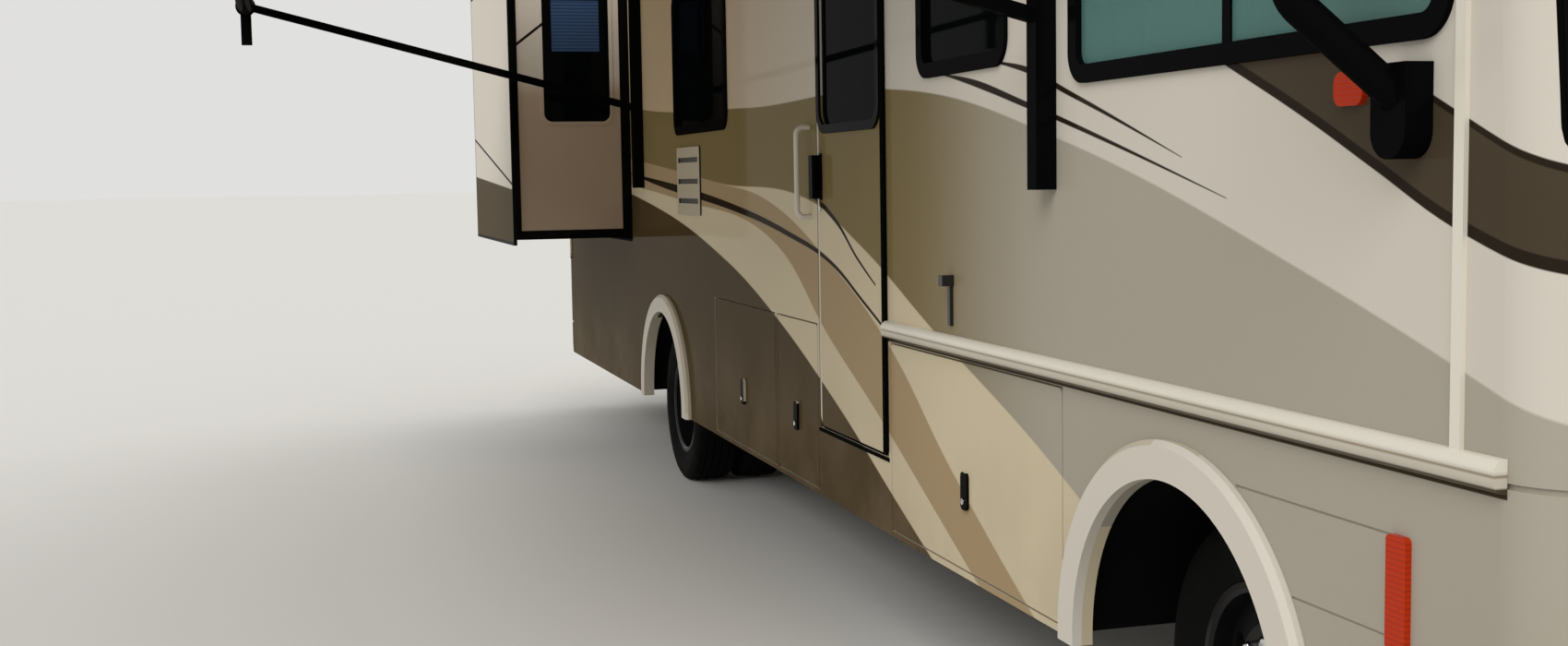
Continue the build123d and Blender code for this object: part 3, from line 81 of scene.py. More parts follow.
camera_place = Vector((-3.278, -7.577, 1.684))
camera_yaw, camera_pitch, camera_roll = (math.radians(angle) for angle in (15.91, 4.80, -0.96))
camera = add_object("camera", bpy.data.cameras.new("camera"))
camera.data.lens = 39.67
camera.data.sensor_width = 36
turn = Matrix.Rotation(-camera_yaw, 4, "Z") @ Matrix.Rotation(math.pi / 2 - camera_pitch, 4, "X")
camera.matrix_world = Matrix.Translation(camera_place) @ turn @ Matrix.Rotation(camera_roll, 4, "Z")
bpy.context.scene.camera = camera
bpy.context.scene.view_settings.view_transform = "Standard"
print("camera at", tuple(round(v, 2) for v in camera_place))

# %% [markdown]
# ## Small helpers for node trees
# A material is a tree of nodes joined by wires. Wiring one by hand takes many lines, so a wire gets
# the signs of ordinary sums here, and each sum on it adds one Math node. Another helper adds any
# other node with its inputs, and the last one mixes two colours or numbers by a mask.

# %% Wires that do sums
class Wire:
    """A value on its way from one shader node to the next."""

    def __init__(self, socket):
        self.socket = socket
        self.tree = socket.id_data

    def calc(self, operation, *others):
        """One Math node on this value and the others."""
        return node(self.tree, "Math", dict(enumerate((self, *others))), operation=operation)

    def __add__(self, other):
        return self.calc("ADD", other)

    def __sub__(self, other):
        return self.calc("SUBTRACT", other)

    def __rsub__(self, other):
        return self.calc("MULTIPLY_ADD", -1.0, other)

    def __mul__(self, other):
        return self.calc("MULTIPLY", other)

    def __or__(self, other):
        return self.calc("MAXIMUM", other)

    def __abs__(self):
        return self.calc("ABSOLUTE")


def feed(made, inputs):
    """Feeds a node's sockets from wires, or sets a number or colour on them."""
    for name, value in inputs.items():
        socket = made.inputs[name]
        if isinstance(value, Wire):
            value.tree.links.new(value.socket, socket)
        elif socket.type == "RGBA":
            socket.default_value = (*value, 1)
        else:
            socket.default_value = value


def node(tree, kind, inputs=None, output=0, **settings):
    """Adds a shader node, sets it up, feeds it and gives one of its outputs."""
    made = tree.nodes.new("ShaderNode" + kind)
    for name, value in settings.items():
        setattr(made, name, value)
    feed(made, inputs or {})
    return Wire(made.outputs[output])


def mix(mask, first, second):
    """The first colour or number where the mask is 0, the second where it is 1."""
    kind = "FLOAT" if float in (type(first), type(second)) else "RGBA"
    return node(mask.tree, "Mix", {"Factor": mask, "A": first, "B": second}, "Result", data_type=kind)


print("wires ready")

# %% [markdown]
# ## Masks and patterns
# Most patterns on a coach are edges: a place where one colour stops and the next begins. A mask that
# turns from 0 to 1 as a coordinate passes a level makes them all. Swapping value and level turns it
# round, multiplying masks keeps what they share, and the bar sign keeps what any of them covers.

# %% Mask and pattern helpers
def linear(red, green, blue):
    """A screen colour of 0 to 255, as the linear values that a shader takes."""
    shares = (value / 255 for value in (red, green, blue))
    return tuple(c / 12.92 if c <= 0.04045 else ((c + 0.055) / 1.055) ** 2.4 for c in shares)


def above(value, level, blur=0.003):
    """Mask that turns from 0 to 1 as a value passes a level; either may be a wire."""
    rise = value - level
    ramp = {0: rise, 1: 0.5 / blur, 2: 0.5}
    return node(rise.tree, "Math", ramp, operation="MULTIPLY_ADD", use_clamp=True)


def within(value, low, high, blur=0.003):
    """Mask of the stretch between two levels."""
    return above(value, low, blur) * above(high, value, blur)


def spread(value, start, stop, low=0.0, high=1.0, shape="LINEAR"):
    """A value's way from start to stop, turned into a way from low to high."""
    inputs = {"Value": value, "From Min": start, "From Max": stop, "To Min": low, "To Max": high}
    return node(value.tree, "MapRange", inputs, interpolation_type=shape)


def between(value, start, stop):
    """Mask that rises smoothly from 0 to 1 between two values."""
    return spread(value, start, stop, shape="SMOOTHSTEP")


def line_mask(value, middle, half):
    """Mask of a thin line about a height, half as wide as given each way."""
    return above(half, abs(value - middle), 0.0015)


def layers(colour, *coats):
    """A colour under some coats, each a mask and the colour that it brings."""
    for mask, coat in coats:
        colour = mix(mask, colour, coat)
    return colour


def noise(spot, scale, detail=3.0, rough=0.5):
    inputs = {"Vector": spot, "Scale": scale, "Detail": detail, "Roughness": rough}
    return node(spot.tree, "TexNoise", inputs)


def wave(spot, scale, direction):
    return node(spot.tree, "TexWave", {"Vector": spot, "Scale": scale}, "Fac", bands_direction=direction)


def bump(height, strength, distance):
    return node(height.tree, "Bump", {"Height": height, "Strength": strength, "Distance": distance})


def split(vector):
    """The X, Y and Z of a vector."""
    parts = node(vector.tree, "SeparateXYZ", {0: vector}).socket.node.outputs
    return [Wire(part) for part in parts]


def start_material(name):
    """A material, its shader, and the point on the piece in metres, whole and split."""
    material = bpy.data.materials.new(name)
    material.use_nodes = True
    spot = node(material.node_tree, "TexCoord", output="Object")
    return material, material.node_tree.nodes["Principled BSDF"], spot, *split(spot)


def set_finish(material, *names):
    """Gives one material to some of the frame's nodes."""
    for name in names:
        slots = nodes[name].data.materials
        slots.clear()
        slots.append(material)


print("pattern helpers ready")

# %% [markdown]
# ## Coach paint
# A coach like this is sprayed in broad sweeps: a pale cap and shoulder, taupe below, a dark band that
# drops from the cab window round the nose, and two cream sweeps that fall from the rear wall to the
# front wheel. On the real one each edge is a masking tape line bent by eye through a few marks on the
# wall. A Float Curve does the same: it gives an edge's height at each place along the coach, and
# the paint below that height takes the next colour.

# %% The taped edges
sweep_front = -5.5
sweep_rear = 5.5
sweep_height = 3.6
# Each edge's height at a few places from front to rear: (y, z) in metres
taped_edges = {
    "shoulder": [
        (-5.35, 1.19), (-4.47, 1.47), (-3.31, 1.77), (-2.14, 1.965), (0.0, 2.0), (2.7, 2.12), (5.35, 2.5)],
    "ribbon_top": [
        (-4.5, 0.30), (-3.31, 0.853), (-2.31, 1.185), (-1.56, 1.44), (-0.9, 1.60), (0.5, 1.66), (5.35, 1.95)],
    "ribbon_foot": [
        (-3.4, 0.28), (-2.48, 0.741), (-1.87, 1.10), (-1.22, 1.351), (-0.3, 1.59), (0.5, 1.66), (5.35, 1.95)],
    "sweep_top": [
        (-3.4, 0.10), (-2.22, 0.632), (-1.77, 0.83), (-1.22, 1.05), (-0.33, 1.43), (1.28, 1.568),
        (5.35, 1.75)],
    "sweep_foot": [
        (-3.4, 0.0), (-2.0, 0.53), (-1.26, 0.818), (-0.33, 1.115), (0.46, 1.30), (2.03, 1.53), (5.35, 1.75)],
    "band_top": [(-5.35, 1.62), (-5.2, 1.665), (-4.88, 1.802), (-4.3, 2.08), (-3.0, 2.62), (5.35, 2.9)],
    "band_foot": [
        (-5.35, 1.475), (-5.2, 1.505), (-4.937, 1.584), (-4.703, 1.688), (-4.453, 1.80), (-4.128, 1.933),
        (-3.7, 2.11), (-3.0, 2.62), (5.35, 2.9)],
    "thread_high": [(-3.95, 1.716), (-3.34, 1.897), (-3.01, 1.986), (-2.2, 2.06), (5.35, 2.1)],
    "thread_low": [
        (-4.2, 1.61), (-3.31, 1.824), (-3.12, 1.866), (-2.53, 1.985), (-1.9, 2.05), (5.35, 2.1)],
    "door_thread": [
        (-2.0, 1.09), (-1.63, 1.222), (-1.19, 1.364), (-0.63, 1.452), (0.04, 1.528), (2.04, 1.672),
        (5.35, 1.9)],
    "door_thread_high": [(-2.0, 1.20), (-1.56, 1.378), (-1.26, 1.53), (-0.9, 1.62), (5.35, 1.9)],
}
print(len(taped_edges), "taped edges")


def edge_height(y, points):
    """Height of a taped edge where a point lies along the coach."""
    bend = node(y.tree, "FloatCurve", {"Value": spread(y, sweep_front, sweep_rear)})
    mapping = bend.socket.node.mapping
    curve = mapping.curves[0]
    marks = [((py - sweep_front) / (sweep_rear - sweep_front), pz / sweep_height) for py, pz in points]
    while len(curve.points) < len(marks):
        curve.points.new(0.5, 0.5)
    for mark, point in zip(marks, curve.points):
        point.location = mark
        point.handle_type = "AUTO"
    mapping.update()
    return bend * sweep_height


# %% The colours between the edges
pale = linear(212, 205, 193)
# The next colour is the pale as it looks in the awning's shade with trees reflected in it: painted shade and
# painted reflection
pale_with_painted_shade = linear(198, 175, 142)
taupe = linear(172, 165, 151)
# The next colour is the taupe turned olive by green trees reflected in it near the door: painted reflection
# and painted shade
taupe_with_painted_reflection = linear(129, 113, 74)
cream = linear(214, 200, 170)
tan = linear(173, 150, 115)
# The next colour is the dark olive-brown lower paint taken at its tone in the awning's shade, so it is partly
# painted shade
earth = linear(76, 61, 36)
dark_band = linear(70, 60, 46)
dark_line = linear(30, 22, 14)
black = linear(9, 9, 10)

bands = bpy.data.node_groups.new("coach_bands", "ShaderNodeTree")
bands.interface.new_socket("Point", in_out="INPUT", socket_type="NodeSocketVector")
bands.interface.new_socket("Color", in_out="OUTPUT", socket_type="NodeSocketColor")
across, along, up = split(Wire(bands.nodes.new("NodeGroupInput").outputs[0]))
heights = {name: edge_height(along, marks) for name, marks in taped_edges.items()}
# Towards the rear the pale turns warmer and the taupe more olive: painted shade of the awning and painted
# reflection of trees
upper = mix(between(along, -2.0, 1.5), pale, pale_with_painted_shade)
middle = mix(between(along, -3.4, -2.0), taupe, taupe_with_painted_reflection)
colour = mix(above(up, heights["shoulder"]), middle, upper)
below = {"ribbon_top": cream, "ribbon_foot": tan, "sweep_top": cream, "sweep_foot": earth}
for name, next_colour in below.items():
    colour = mix(above(up, heights[name]), next_colour, colour)
colour = mix(within(up, heights["band_foot"], heights["band_top"]), colour, dark_band)
# Dark lines: along both edges of the band, and the threads that taper towards the nose
for name, front_half, rear_half, start, stop, tail in (
    ("band_top", 0.007, 0.007, -5.6, -3.0, 0.1),
    ("band_foot", 0.012, 0.012, -5.6, -3.0, 0.1),
    ("thread_high", 0.001, 0.015, -3.95, -2.7, 0.5),
    ("thread_low", 0.001, 0.015, -4.15, -2.3, 0.5),
    ("door_thread", 0.006, 0.030, -1.85, 3.2, 2.0),
    ("door_thread_high", 0.004, 0.016, -1.75, -0.9, 0.3),
):
    half = spread(along, start, stop, front_half, rear_half) * between(along, stop, stop - tail)
    colour = mix(line_mask(up, heights[name], half) * within(along, start, stop), colour, dark_line)
feed(bands.nodes.new("NodeGroupOutput"), {0: colour})
print("bands group has", len(bands.nodes), "nodes")

# %% [markdown]
# ## A panel has two sides
# A wall is sprayed on its outer face only. Inside is pale wall board. The same mesh carries both, so
# the material asks which way the surface looks: away from a point inside the coach means outside.
# What stands proud of the wall plane, such as a window rim, a latch or a wheel-arch flare, is
# another colour again, and a distance from the centreline finds it.

# %% Paint for the coach's panels
def outside_mask(spot, centre):
    """1 on faces that look away from a point inside the coach, 0 on those that look towards it."""
    facing = node(spot.tree, "TexCoord", output="Normal")
    reach = node(spot.tree, "VectorMath", {0: spot, 1: centre}, operation="SUBTRACT")
    agree = node(spot.tree, "VectorMath", {0: facing, 1: reach}, "Value", operation="DOT_PRODUCT")
    return above(agree, 0.0, 0.01)


def gloss(shader, spot, outside, board, painted, rough):
    """Gloss paint where the mask says outside, matt board elsewhere."""
    feed(shader, {
        "Base Color": mix(outside, board, painted),
        "Roughness": mix(outside, 0.6, rough),
        "Normal": bump(noise(spot, 240.0, 2.0), 0.06, 0.001),
        "Specular IOR Level": 0.0,
        "Coat Weight": 0.12,
        "Coat Roughness": 0.06,
    })


def belt_shade(y, z, colour):
    """The strip that lies in the belt moulding's shade."""
    shade_rear = -1.8
    strip = within(z, wall_low.z - 0.010, wall_low.z, 0.001)
    strip = strip * within(y, belt_low.y, shade_rear, 0.001)
    return mix(strip, colour, linear(60, 50, 36))


def door_rims(y, z, colour):
    """A pale rim down both upright edges of the entry door, and the black pocket behind its handle."""
    leaf = within(y, door_low.y + 0.018, door_high.y - 0.018, 0.001)
    pocket = line_mask(y, latch.y, 0.024) * line_mask(z, latch.z, 0.092)
    return mix(pocket, mix(leaf, pale, colour), black)


def coach_paint(name, centre, proud_colour, extra=None):
    """Banded gloss paint outside, wall board inside, another finish on what stands proud."""
    material, shader, spot, x, y, z = start_material(name)
    banded = node(spot.tree, "Group", {0: spot}, node_tree=bands)
    # A slight drift of tone, and road dust that thins out above the sills
    painted = mix(noise(spot, 0.8, 2.0) * 0.10, banded, linear(120, 108, 90))
    dust = between(noise(spot, 1.7, 5.0, 0.6), 0.3, 0.75) * between(z, 1.15, 0.40) * 0.3
    painted = mix(dust, painted, linear(150, 132, 106))
    if extra:
        painted = extra(y, z, painted)
    proud = above(abs(x), half_width + 0.002, 0.001)
    board = mix(noise(spot, 3.0), linear(206, 196, 178), linear(192, 180, 160))
    rough = mix(proud, dust * 0.5 + 0.22, 0.3)
    gloss(shader, spot, outside_mask(spot, centre), board, mix(proud, painted, proud_colour), rough)
    return material


inside_coach = (0.0, 0.0, 1.9)
inside_nose = (0.0, -3.6, 1.6)
inside_tail = (0.0, 4.2, 1.7)
paints = {}
for name, centre, proud_colour, extra, panels in (
    ("wall_paint", inside_coach, black, None, ("curb_wall", "street_wall")),
    ("nose_paint", inside_nose, pale, belt_shade, ("front_cap", "front_access_door")),
    ("tail_paint", inside_tail, pale, None, ("rear_cap",)),
    ("skirt_paint", inside_coach, pale, belt_shade, ("side_skirts",)),
    ("entry_door_paint", inside_coach, black, door_rims, ("entry_door",)),
    ("door_paint", inside_coach, black, None, lids),
):
    paints[name] = coach_paint(name, centre, proud_colour, extra)
    set_finish(paints[name], *panels)
print("coach paints:", ", ".join(paints))

# %% [markdown]
# ## One recipe for plain finishes
# Most of a coach is plain stuff: moulded skin, powder coat, rubber, bare metal. One function makes
# them all from a colour and a few numbers, each with a little uneven tone and grain, so that the
# finishes can be compared line by line.

# %% A plain finish
def plain_finish(name, colour, rough, metal=0.0, drift=0.12, grain=60.0, depth=0.0, coat=0.0, shine=0.5):
    """Even finish: a drift of tone a hand wide, worn roughness and a fine grain."""
    material, shader, spot, x, y, z = start_material(name)
    darker = tuple(0.62 * channel for channel in colour)
    feed(shader, {
        "Base Color": mix(noise(spot, 2.5, 4.0) * (drift * 2), colour, darker),
        "Roughness": mix(noise(spot, 9.0, 4.0), rough * 0.8, min(rough * 1.2, 1.0)),
        "Metallic": metal,
        "Specular IOR Level": shine,
        "Coat Weight": coat,
        "Coat Roughness": 0.08,
    })
    if depth:
        feed(shader, {"Normal": bump(noise(spot, grain), 0.35, depth)})
    return material


# Each row: name, colour, roughness, other settings, and the frame's nodes that carry it
finishes = {}
for name, colour, rough, settings, carriers in (
    ("roof_skin", (214, 211, 203), 0.45, dict(grain=300, depth=0.0006), "roof"),
    ("roof_shroud", (206, 202, 192), 0.5, dict(grain=240, depth=0.0008), "roof_units"),
    ("black_trim", (10, 10, 11), 0.4, dict(grain=200, depth=0.0004, coat=0.04, shine=0.0),
     "window_frames mirrors grille hitch_receiver"),
    ("satin_black", (10, 10, 11), 0.32, dict(drift=0.05, coat=0.08, shine=0.0), ""),
    ("chassis_paint", (14, 13, 13), 0.55, dict(grain=90, depth=0.0012, shine=0.25),
     "chassis_rails cross_members floor_risers driveline front_axle rear_axle curb_knuckle street_knuckle"),
    ("spring_steel", (52, 47, 42), 0.5, dict(metal=0.7, drift=0.25, grain=70, depth=0.0012), "suspension"),
    ("engine_iron", (66, 66, 68), 0.55, dict(metal=0.6, drift=0.2, grain=110, depth=0.002), "engine_block"),
    ("exhaust_steel", (150, 146, 138), 0.36, dict(metal=0.9, drift=0.3, depth=0.0006), "exhaust"),
    ("tank_plastic", (22, 22, 23), 0.5, dict(grain=180, depth=0.0008), "fuel_tank"),
    # The arch liner's near-black is partly painted shade: the wheel arches are kept as dark as the shade
    # inside them
    ("arch_liner", (3, 3, 3), 0.9, dict(grain=80, depth=0.0015, shine=0.1), "wheel_wells"),
    ("bay_liner", (120, 118, 113), 0.65, dict(grain=120, depth=0.001), "baggage_bays"),
    ("dash_skin", (92, 80, 66), 0.6, dict(grain=420, depth=0.0012), "dashboard"),
    ("bright_tube", (188, 188, 188), 0.28, dict(metal=1.0, drift=0.08), "ladder"),
    ("seal_rubber", (10, 10, 10), 0.65, dict(grain=260, depth=0.0005, coat=0.02, shine=0.0), ""),
    ("awning_metal", (9, 9, 10), 0.4, dict(drift=0.05, coat=0.04, shine=0.0), "awning_arms awning_channels"),
    ("roller_metal", (22, 21, 20), 0.4, dict(drift=0.05, coat=0.03, shine=0.0), "awning_roller"),
    ("chrome", (205, 205, 205), 0.1, dict(metal=1.0, drift=0.04), ""),
    ("mirror_pane", (196, 200, 204), 0.04, dict(metal=1.0, drift=0.02), ""),
    ("seat_cover", (158, 138, 110), 0.5, dict(drift=0.2, grain=320, depth=0.0012),
     "awning_fabric cab_seats"),
    ("tyre_rubber", (14, 14, 14), 0.85, dict(drift=0.3, grain=160, depth=0.0016, shine=0.08),
     "front_curb_tyre front_street_tyre rear_curb_tyre rear_street_tyre"),
    ("wheel_paint", (26, 26, 28), 0.38, dict(metal=0.3, drift=0.1, coat=0.1, shine=0.2),
     "front_curb_rim front_street_rim rear_curb_rim rear_street_rim"),
):
    finishes[name] = plain_finish(name, linear(*colour), rough, **settings)
    set_finish(finishes[name], *carriers.split())
print(len(finishes), "plain finishes")

# %% Fittings on the curb wall, coloured by place: pale bar, black slots and catch
material, shader, spot, x, y, z = start_material("wall_fittings")
bar_middle = -0.965
catch_rear = -2.2
tone = layers(
    linear(178, 166, 140),
    (above(x, -half_width - 0.0075, 0.0005), linear(20, 19, 18)),
    (within(y, bar_middle - 0.05, bar_middle + 0.05, 0.001), linear(214, 208, 196)),
    (above(catch_rear, y, 0.01), linear(22, 21, 21)),
)
feed(shader, {"Base Color": tone, "Roughness": 0.4})
set_finish(material, "wall_fittings")

# %% Belt and joint mouldings: pale, with a painted highlight on the upper edge and painted shade on the dark lower lip
material, shader, spot, x, y, z = start_material("belt_moulding")
# The bright upper edge is a painted highlight and the dark lower lip is painted shade under the moulding; a
# darker line runs just below the highlight
shade = layers(
    mix(noise(spot, 2.5), linear(204, 196, 180), linear(192, 183, 166)),
    (above(z, belt_low.z + 0.038, 0.004), linear(226, 220, 206)),
    (line_mask(z, belt_low.z + 0.032, 0.0025), linear(150, 138, 116)),
    (above(belt_low.z + 0.011, z, 0.002), linear(66, 56, 40)),
)
worn = mix(noise(spot, 9.0, 4.0), 0.26, 0.4)
feed(shader, {"Base Color": shade, "Roughness": worn, "Specular IOR Level": 0.3})
set_finish(material, "belt_mouldings")
print("fittings and mouldings coloured")

# %% [markdown]
# ## Rooms that slide out
# A room's long face carries the same colours as the coach, pale over earth, with one rising thread.
# Its end walls only show while it is out, and they are plainer: pale above, tan below, and a thin dark
# slanted line that is a painted reflection. Black trim frames the face, the foot and the root of each end,
# where the seals run; at the root the black is also painted shadow between the room and the wall.

# %% Room paint
trim_width = 0.054
room_waist = 2.25


def room_long_side(y, z, low, high):
    """Pale above and earth below a falling line, a thread that climbs over it, and a black edge."""
    fall = y * 0.042 + 1.526
    climb = (y - low.y) * (0.23 / (high.y - low.y)) + 0.03
    face = mix(above(z, fall, 0.004), earth, pale)
    face = mix(line_mask(z, fall + climb, 0.008), face, dark_line)
    edge = 0.020
    inner = within(y, low.y + edge, high.y - edge, 0.001) * within(z, low.z + edge, high.z - edge, 0.001)
    return mix(inner, black, face)


def room_end(out, z, low, far):
    """Two plain tones, a thin slanted line of painted reflection, and black trim at foot, root and face, also
    painted shadow at the root.
    """
    two_tones = between(z, room_waist - 0.08, room_waist + 0.08)
    shade = mix(two_tones, linear(178, 156, 134), linear(206, 196, 182))
    # The thin slanted dark line high on the end wall is a painted reflection
    reflection_height = out * -0.77 + (2.5 + 0.77 * 1.94)
    slanted = line_mask(z, reflection_height, 0.010) * above(z, room_waist + 0.2, 0.004)
    shade = mix(slanted, shade, dark_line)
    at_face = above(out, far - trim_width, 0.001)
    # The black at the root stands for the seal and is also painted shadow where the room meets the wall
    at_root = above(half_width + trim_width, out, 0.001)
    at_foot = above(low.z + 0.032 + trim_width, z, 0.001)
    return mix(at_face | at_root | at_foot, shade, black)


for label, side in sides.items():
    low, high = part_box(f"{label}_slide")
    far = max(abs(low.x), abs(high.x))
    material, shader, spot, x, y, z = start_material(f"{label}_room_paint")
    facing = split(node(spot.tree, "TexCoord", output="Normal"))
    sideways, endwise = (above(abs(part), 0.5, 0.05) for part in facing[:2])
    topside = mix(above(facing[2], 0.5, 0.05), black, linear(200, 196, 186))
    painted = mix(sideways, topside, room_long_side(y, z, low, high))
    painted = mix(endwise, painted, room_end(abs(x), z, low, far))
    centre = ((far - 0.4) * side, (low.y + high.y) / 2, (low.z + high.z) / 2)
    gloss(shader, spot, outside_mask(spot, centre), linear(200, 190, 172), painted, 0.26)
    set_finish(material, f"{label}_slide")
print("rooms painted")

# %% [markdown]
# ## Glass
# Coach side windows are tinted until they read as black mirrors, while the cab's glass is a clear
# green. Real glass would need many light bounces to show the seats behind it, so the tint is done with
# alpha: part of each ray passes straight through, and the rest meets a dark glossy surface.

# %% Glass finishes
def glass_finish(name, *panes, pattern=None, tint=linear(6, 8, 9), alpha=0.97):
    """Glossy tinted glass on some panes; a pattern changes its colour and alpha by place."""
    material, shader, spot, x, y, z = start_material(name)
    smear = noise(spot, 3.0, 4.0)
    colour = mix(smear * 0.3, tint, tuple(0.7 * c for c in tint))
    solid = mix(smear, alpha, min(alpha + 0.06, 1.0))
    if pattern:
        colour, solid = pattern(spot, x, y, z, colour, solid)
    feed(shader, {"Base Color": colour, "Alpha": solid, "Roughness": mix(smear, 0.02, 0.08)})
    feed(shader, {"Specular IOR Level": 0.0, "Coat Weight": 0.08})
    set_finish(material, *panes)


def black_edge(spot, x, y, z, colour, solid):
    """The black border that is baked onto a windscreen's edge."""
    low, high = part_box("windscreen")
    band = above(abs(x), high.x - 0.07, 0.002) | above(low.z + 0.06, z, 0.002)
    band = band | above(z, high.z - 0.09, 0.002)
    return mix(band, colour, black), mix(band, solid, 1.0)


def clear_cab(spot, x, y, z, colour, solid):
    """Clear green at the cab, dark tint behind it."""
    behind_cab = above(y, -3.2, 0.01)
    return mix(behind_cab, linear(104, 146, 139), colour), mix(behind_cab, 0.55, solid)


def pleated_shade(spot, x, y, z, colour, solid):
    """A pleated blue shade behind the end window, down to half its height."""
    low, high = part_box("curb_slide_glass")
    border = 0.057
    on_shade = within(z, (low.z + high.z) / 2 + 0.03, high.z - border)
    on_shade = on_shade * within(x, low.x + border, high.x - border)
    pleated = mix(wave(spot, 16.0, "Z"), linear(44, 62, 92), linear(62, 86, 118))
    return mix(on_shade, colour, pleated), solid


glass_finish("dark_glass", "entry_door_glass", "street_slide_glass")
glass_finish("windscreen_glass", "windscreen", pattern=black_edge, tint=linear(110, 140, 134), alpha=0.32)
glass_finish("side_glass", "window_glass", pattern=clear_cab)
glass_finish("shaded_glass", "curb_slide_glass", pattern=pleated_shade)
print("glass set")

# %% [markdown]
# ## Lamps, wood and steps
# Lamp lenses are one node on the frame, so their colour goes by place: amber at the markers, red at
# the tail, clear at the nose. The ribs moulded inside a lens are a wave pattern in its bump.

# %% Lenses
material, shader, spot, x, y, z = start_material("lamp_lenses")
tail = above(y, 5.0, 0.002)
# Each headlamp has a round bowl with a bulb in its middle; its chrome is a painted reflection, bright in the
# middle and darker towards the rim, and the rest of the reflector is darker.
bowl_place = (0.905, 1.045)
across = abs(x) - bowl_place[0]
rise = z - bowl_place[1]
reach = (across * across + rise * rise).calc("SQRT")
bowl = layers(
    mix(between(reach, 0.02, 0.118), linear(226, 229, 231), linear(122, 126, 130)),
    (line_mask(reach, 0.020, 0.004), linear(84, 88, 92)),
    (above(reach, 0.118, 0.001), linear(176, 180, 183)),
    (line_mask(reach, 0.121, 0.0035), linear(52, 54, 56)),
    (above(across, 0.133, 0.002), linear(196, 92, 22)),
)
# Each tail lamp is clear at its foot, then red, and amber at its head
stack = layers(
    linear(225, 226, 226),
    (above(z, 0.96, 0.002), linear(176, 20, 16)),
    (above(z, 1.21, 0.002), linear(206, 98, 20)),
)
colour = layers(
    linear(186, 50, 14),
    (above(-4.98, y, 0.002), bowl),
    (tail, stack),
    (above(z, 3.0, 0.002), mix(tail, linear(196, 88, 20), linear(160, 20, 16))),
)
ribs = wave(spot, 28.0, "Z")
feed(shader, {
    "Base Color": colour,
    "Normal": bump(ribs, 0.5, 0.003),
    "Roughness": mix(ribs, 0.06, 0.14),
    "Specular IOR Level": 0.05,
    "Coat Weight": 0.15,
    "Coat Roughness": 0.03,
})
set_finish(material, "lamps")

# %% Floor and steps
material, shader, spot, x, y, z = start_material("floor_board")
carpet = noise(spot, 420.0, 3.0, 0.8)
pile = mix(carpet, linear(96, 78, 58), linear(152, 130, 104))
wood = mix(noise(spot, 9.0), linear(126, 98, 68), linear(158, 128, 92))
topside = above(z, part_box("floor")[1].z - 0.004, 0.002)
feed(shader, {"Base Color": mix(topside, wood, pile), "Normal": bump(carpet, 0.5, 0.003), "Roughness": 0.9})
set_finish(material, "floor")

material, shader, spot, x, y, z = start_material("step_tread")
rows = wave(spot, 22.0, "X")
tone = mix(rows, linear(46, 44, 42), linear(70, 67, 64))
feed(shader, {"Base Color": tone, "Normal": bump(rows, 0.6, 0.003), "Roughness": 0.7})
set_finish(material, "step_well")
unpainted = [name for name, thing in nodes.items() if not any(thing.data.materials)]
print("nodes without a finish:", unpainted)

# %% [markdown]
# ## Pieces made by hand
# The next pieces are modelled the way one works at the screen: add a primitive, shape it in edit mode,
# finish it with a modifier or two. Everything is deselected first, because an operator acts on all
# that is selected. When a piece is done its place is applied to its mesh, it is smoothed by angle,
# and it is told which moving body carries it.

# %% Modelling helpers
def mode(name):
    bpy.ops.object.mode_set(mode=name)


def start_piece(name, kind, **size):
    """A primitive of that kind, alone in the selection, at its size and place."""
    bpy.ops.object.select_all(action="DESELECT")
    getattr(bpy.ops.mesh, f"primitive_{kind}_add")(**size)
    piece = bpy.context.object
    piece.name = name
    piece.data.name = name
    return piece


def apply_modifier(piece, kind, **settings):
    """Adds a modifier, sets it up and applies it."""
    change = piece.modifiers.new(kind.title(), kind)
    for name, value in settings.items():
        setattr(change, name, value)
    bpy.context.view_layer.objects.active = piece
    bpy.ops.object.modifier_apply(modifier=change.name)


def select_only(*things):
    bpy.ops.object.select_all(action="DESELECT")
    for thing in things:
        thing.select_set(True)
    bpy.context.view_layer.objects.active = things[0]


def join(name, pieces):
    """Several pieces as one, under a name."""
    select_only(*pieces)
    if len(pieces) > 1:
        bpy.ops.object.join()
    whole = bpy.context.view_layer.objects.active
    whole.name = name
    return whole


def pick(piece, test):
    """In object mode, selects the faces whose centre and normal pass a test."""
    for part in (piece.data.vertices, piece.data.edges, piece.data.polygons):
        part.foreach_set("select", [False] * len(part))
    for face in piece.data.polygons:
        face.select = bool(test(face.center, face.normal))


def turn_section(piece, points, centre, steps):
    """Turns a closed section of (across, radius) points about the X line through a centre."""
    mode("EDIT")
    bpy.ops.mesh.merge(type="CENTER")
    first = Vector((centre[0] + points[0][0], centre[1], centre[2] + points[0][1]))
    corner = piece.matrix_world @ piece.data.vertices[0].co
    bpy.ops.transform.translate(value=first - corner)
    for before, after in zip(points, points[1:] + points[:1]):
        move = (after[0] - before[0], 0, after[1] - before[1])
        bpy.ops.mesh.extrude_region_move(TRANSFORM_OT_translate={"value": move})
    bpy.ops.mesh.select_all(action="SELECT")
    bpy.ops.mesh.spin(steps=steps, angle=math.tau, center=centre, axis=(1, 0, 0))
    bpy.ops.mesh.select_all(action="SELECT")
    bpy.ops.mesh.remove_doubles(threshold=0.0002)
    bpy.ops.mesh.normals_make_consistent(inside=False)
    mode("OBJECT")


def finish_piece(piece, finish, body="coach", smooth=60):
    """Applies the place, smooths by angle, gives the finish and sets what carries the piece."""
    select_only(piece)
    bpy.ops.object.transform_apply(location=True, rotation=True, scale=True)
    bpy.ops.object.shade_smooth_by_angle(angle=math.radians(smooth))
    piece.data.materials.clear()
    piece.data.materials.append(finishes.get(finish, finish))
    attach(piece, body)


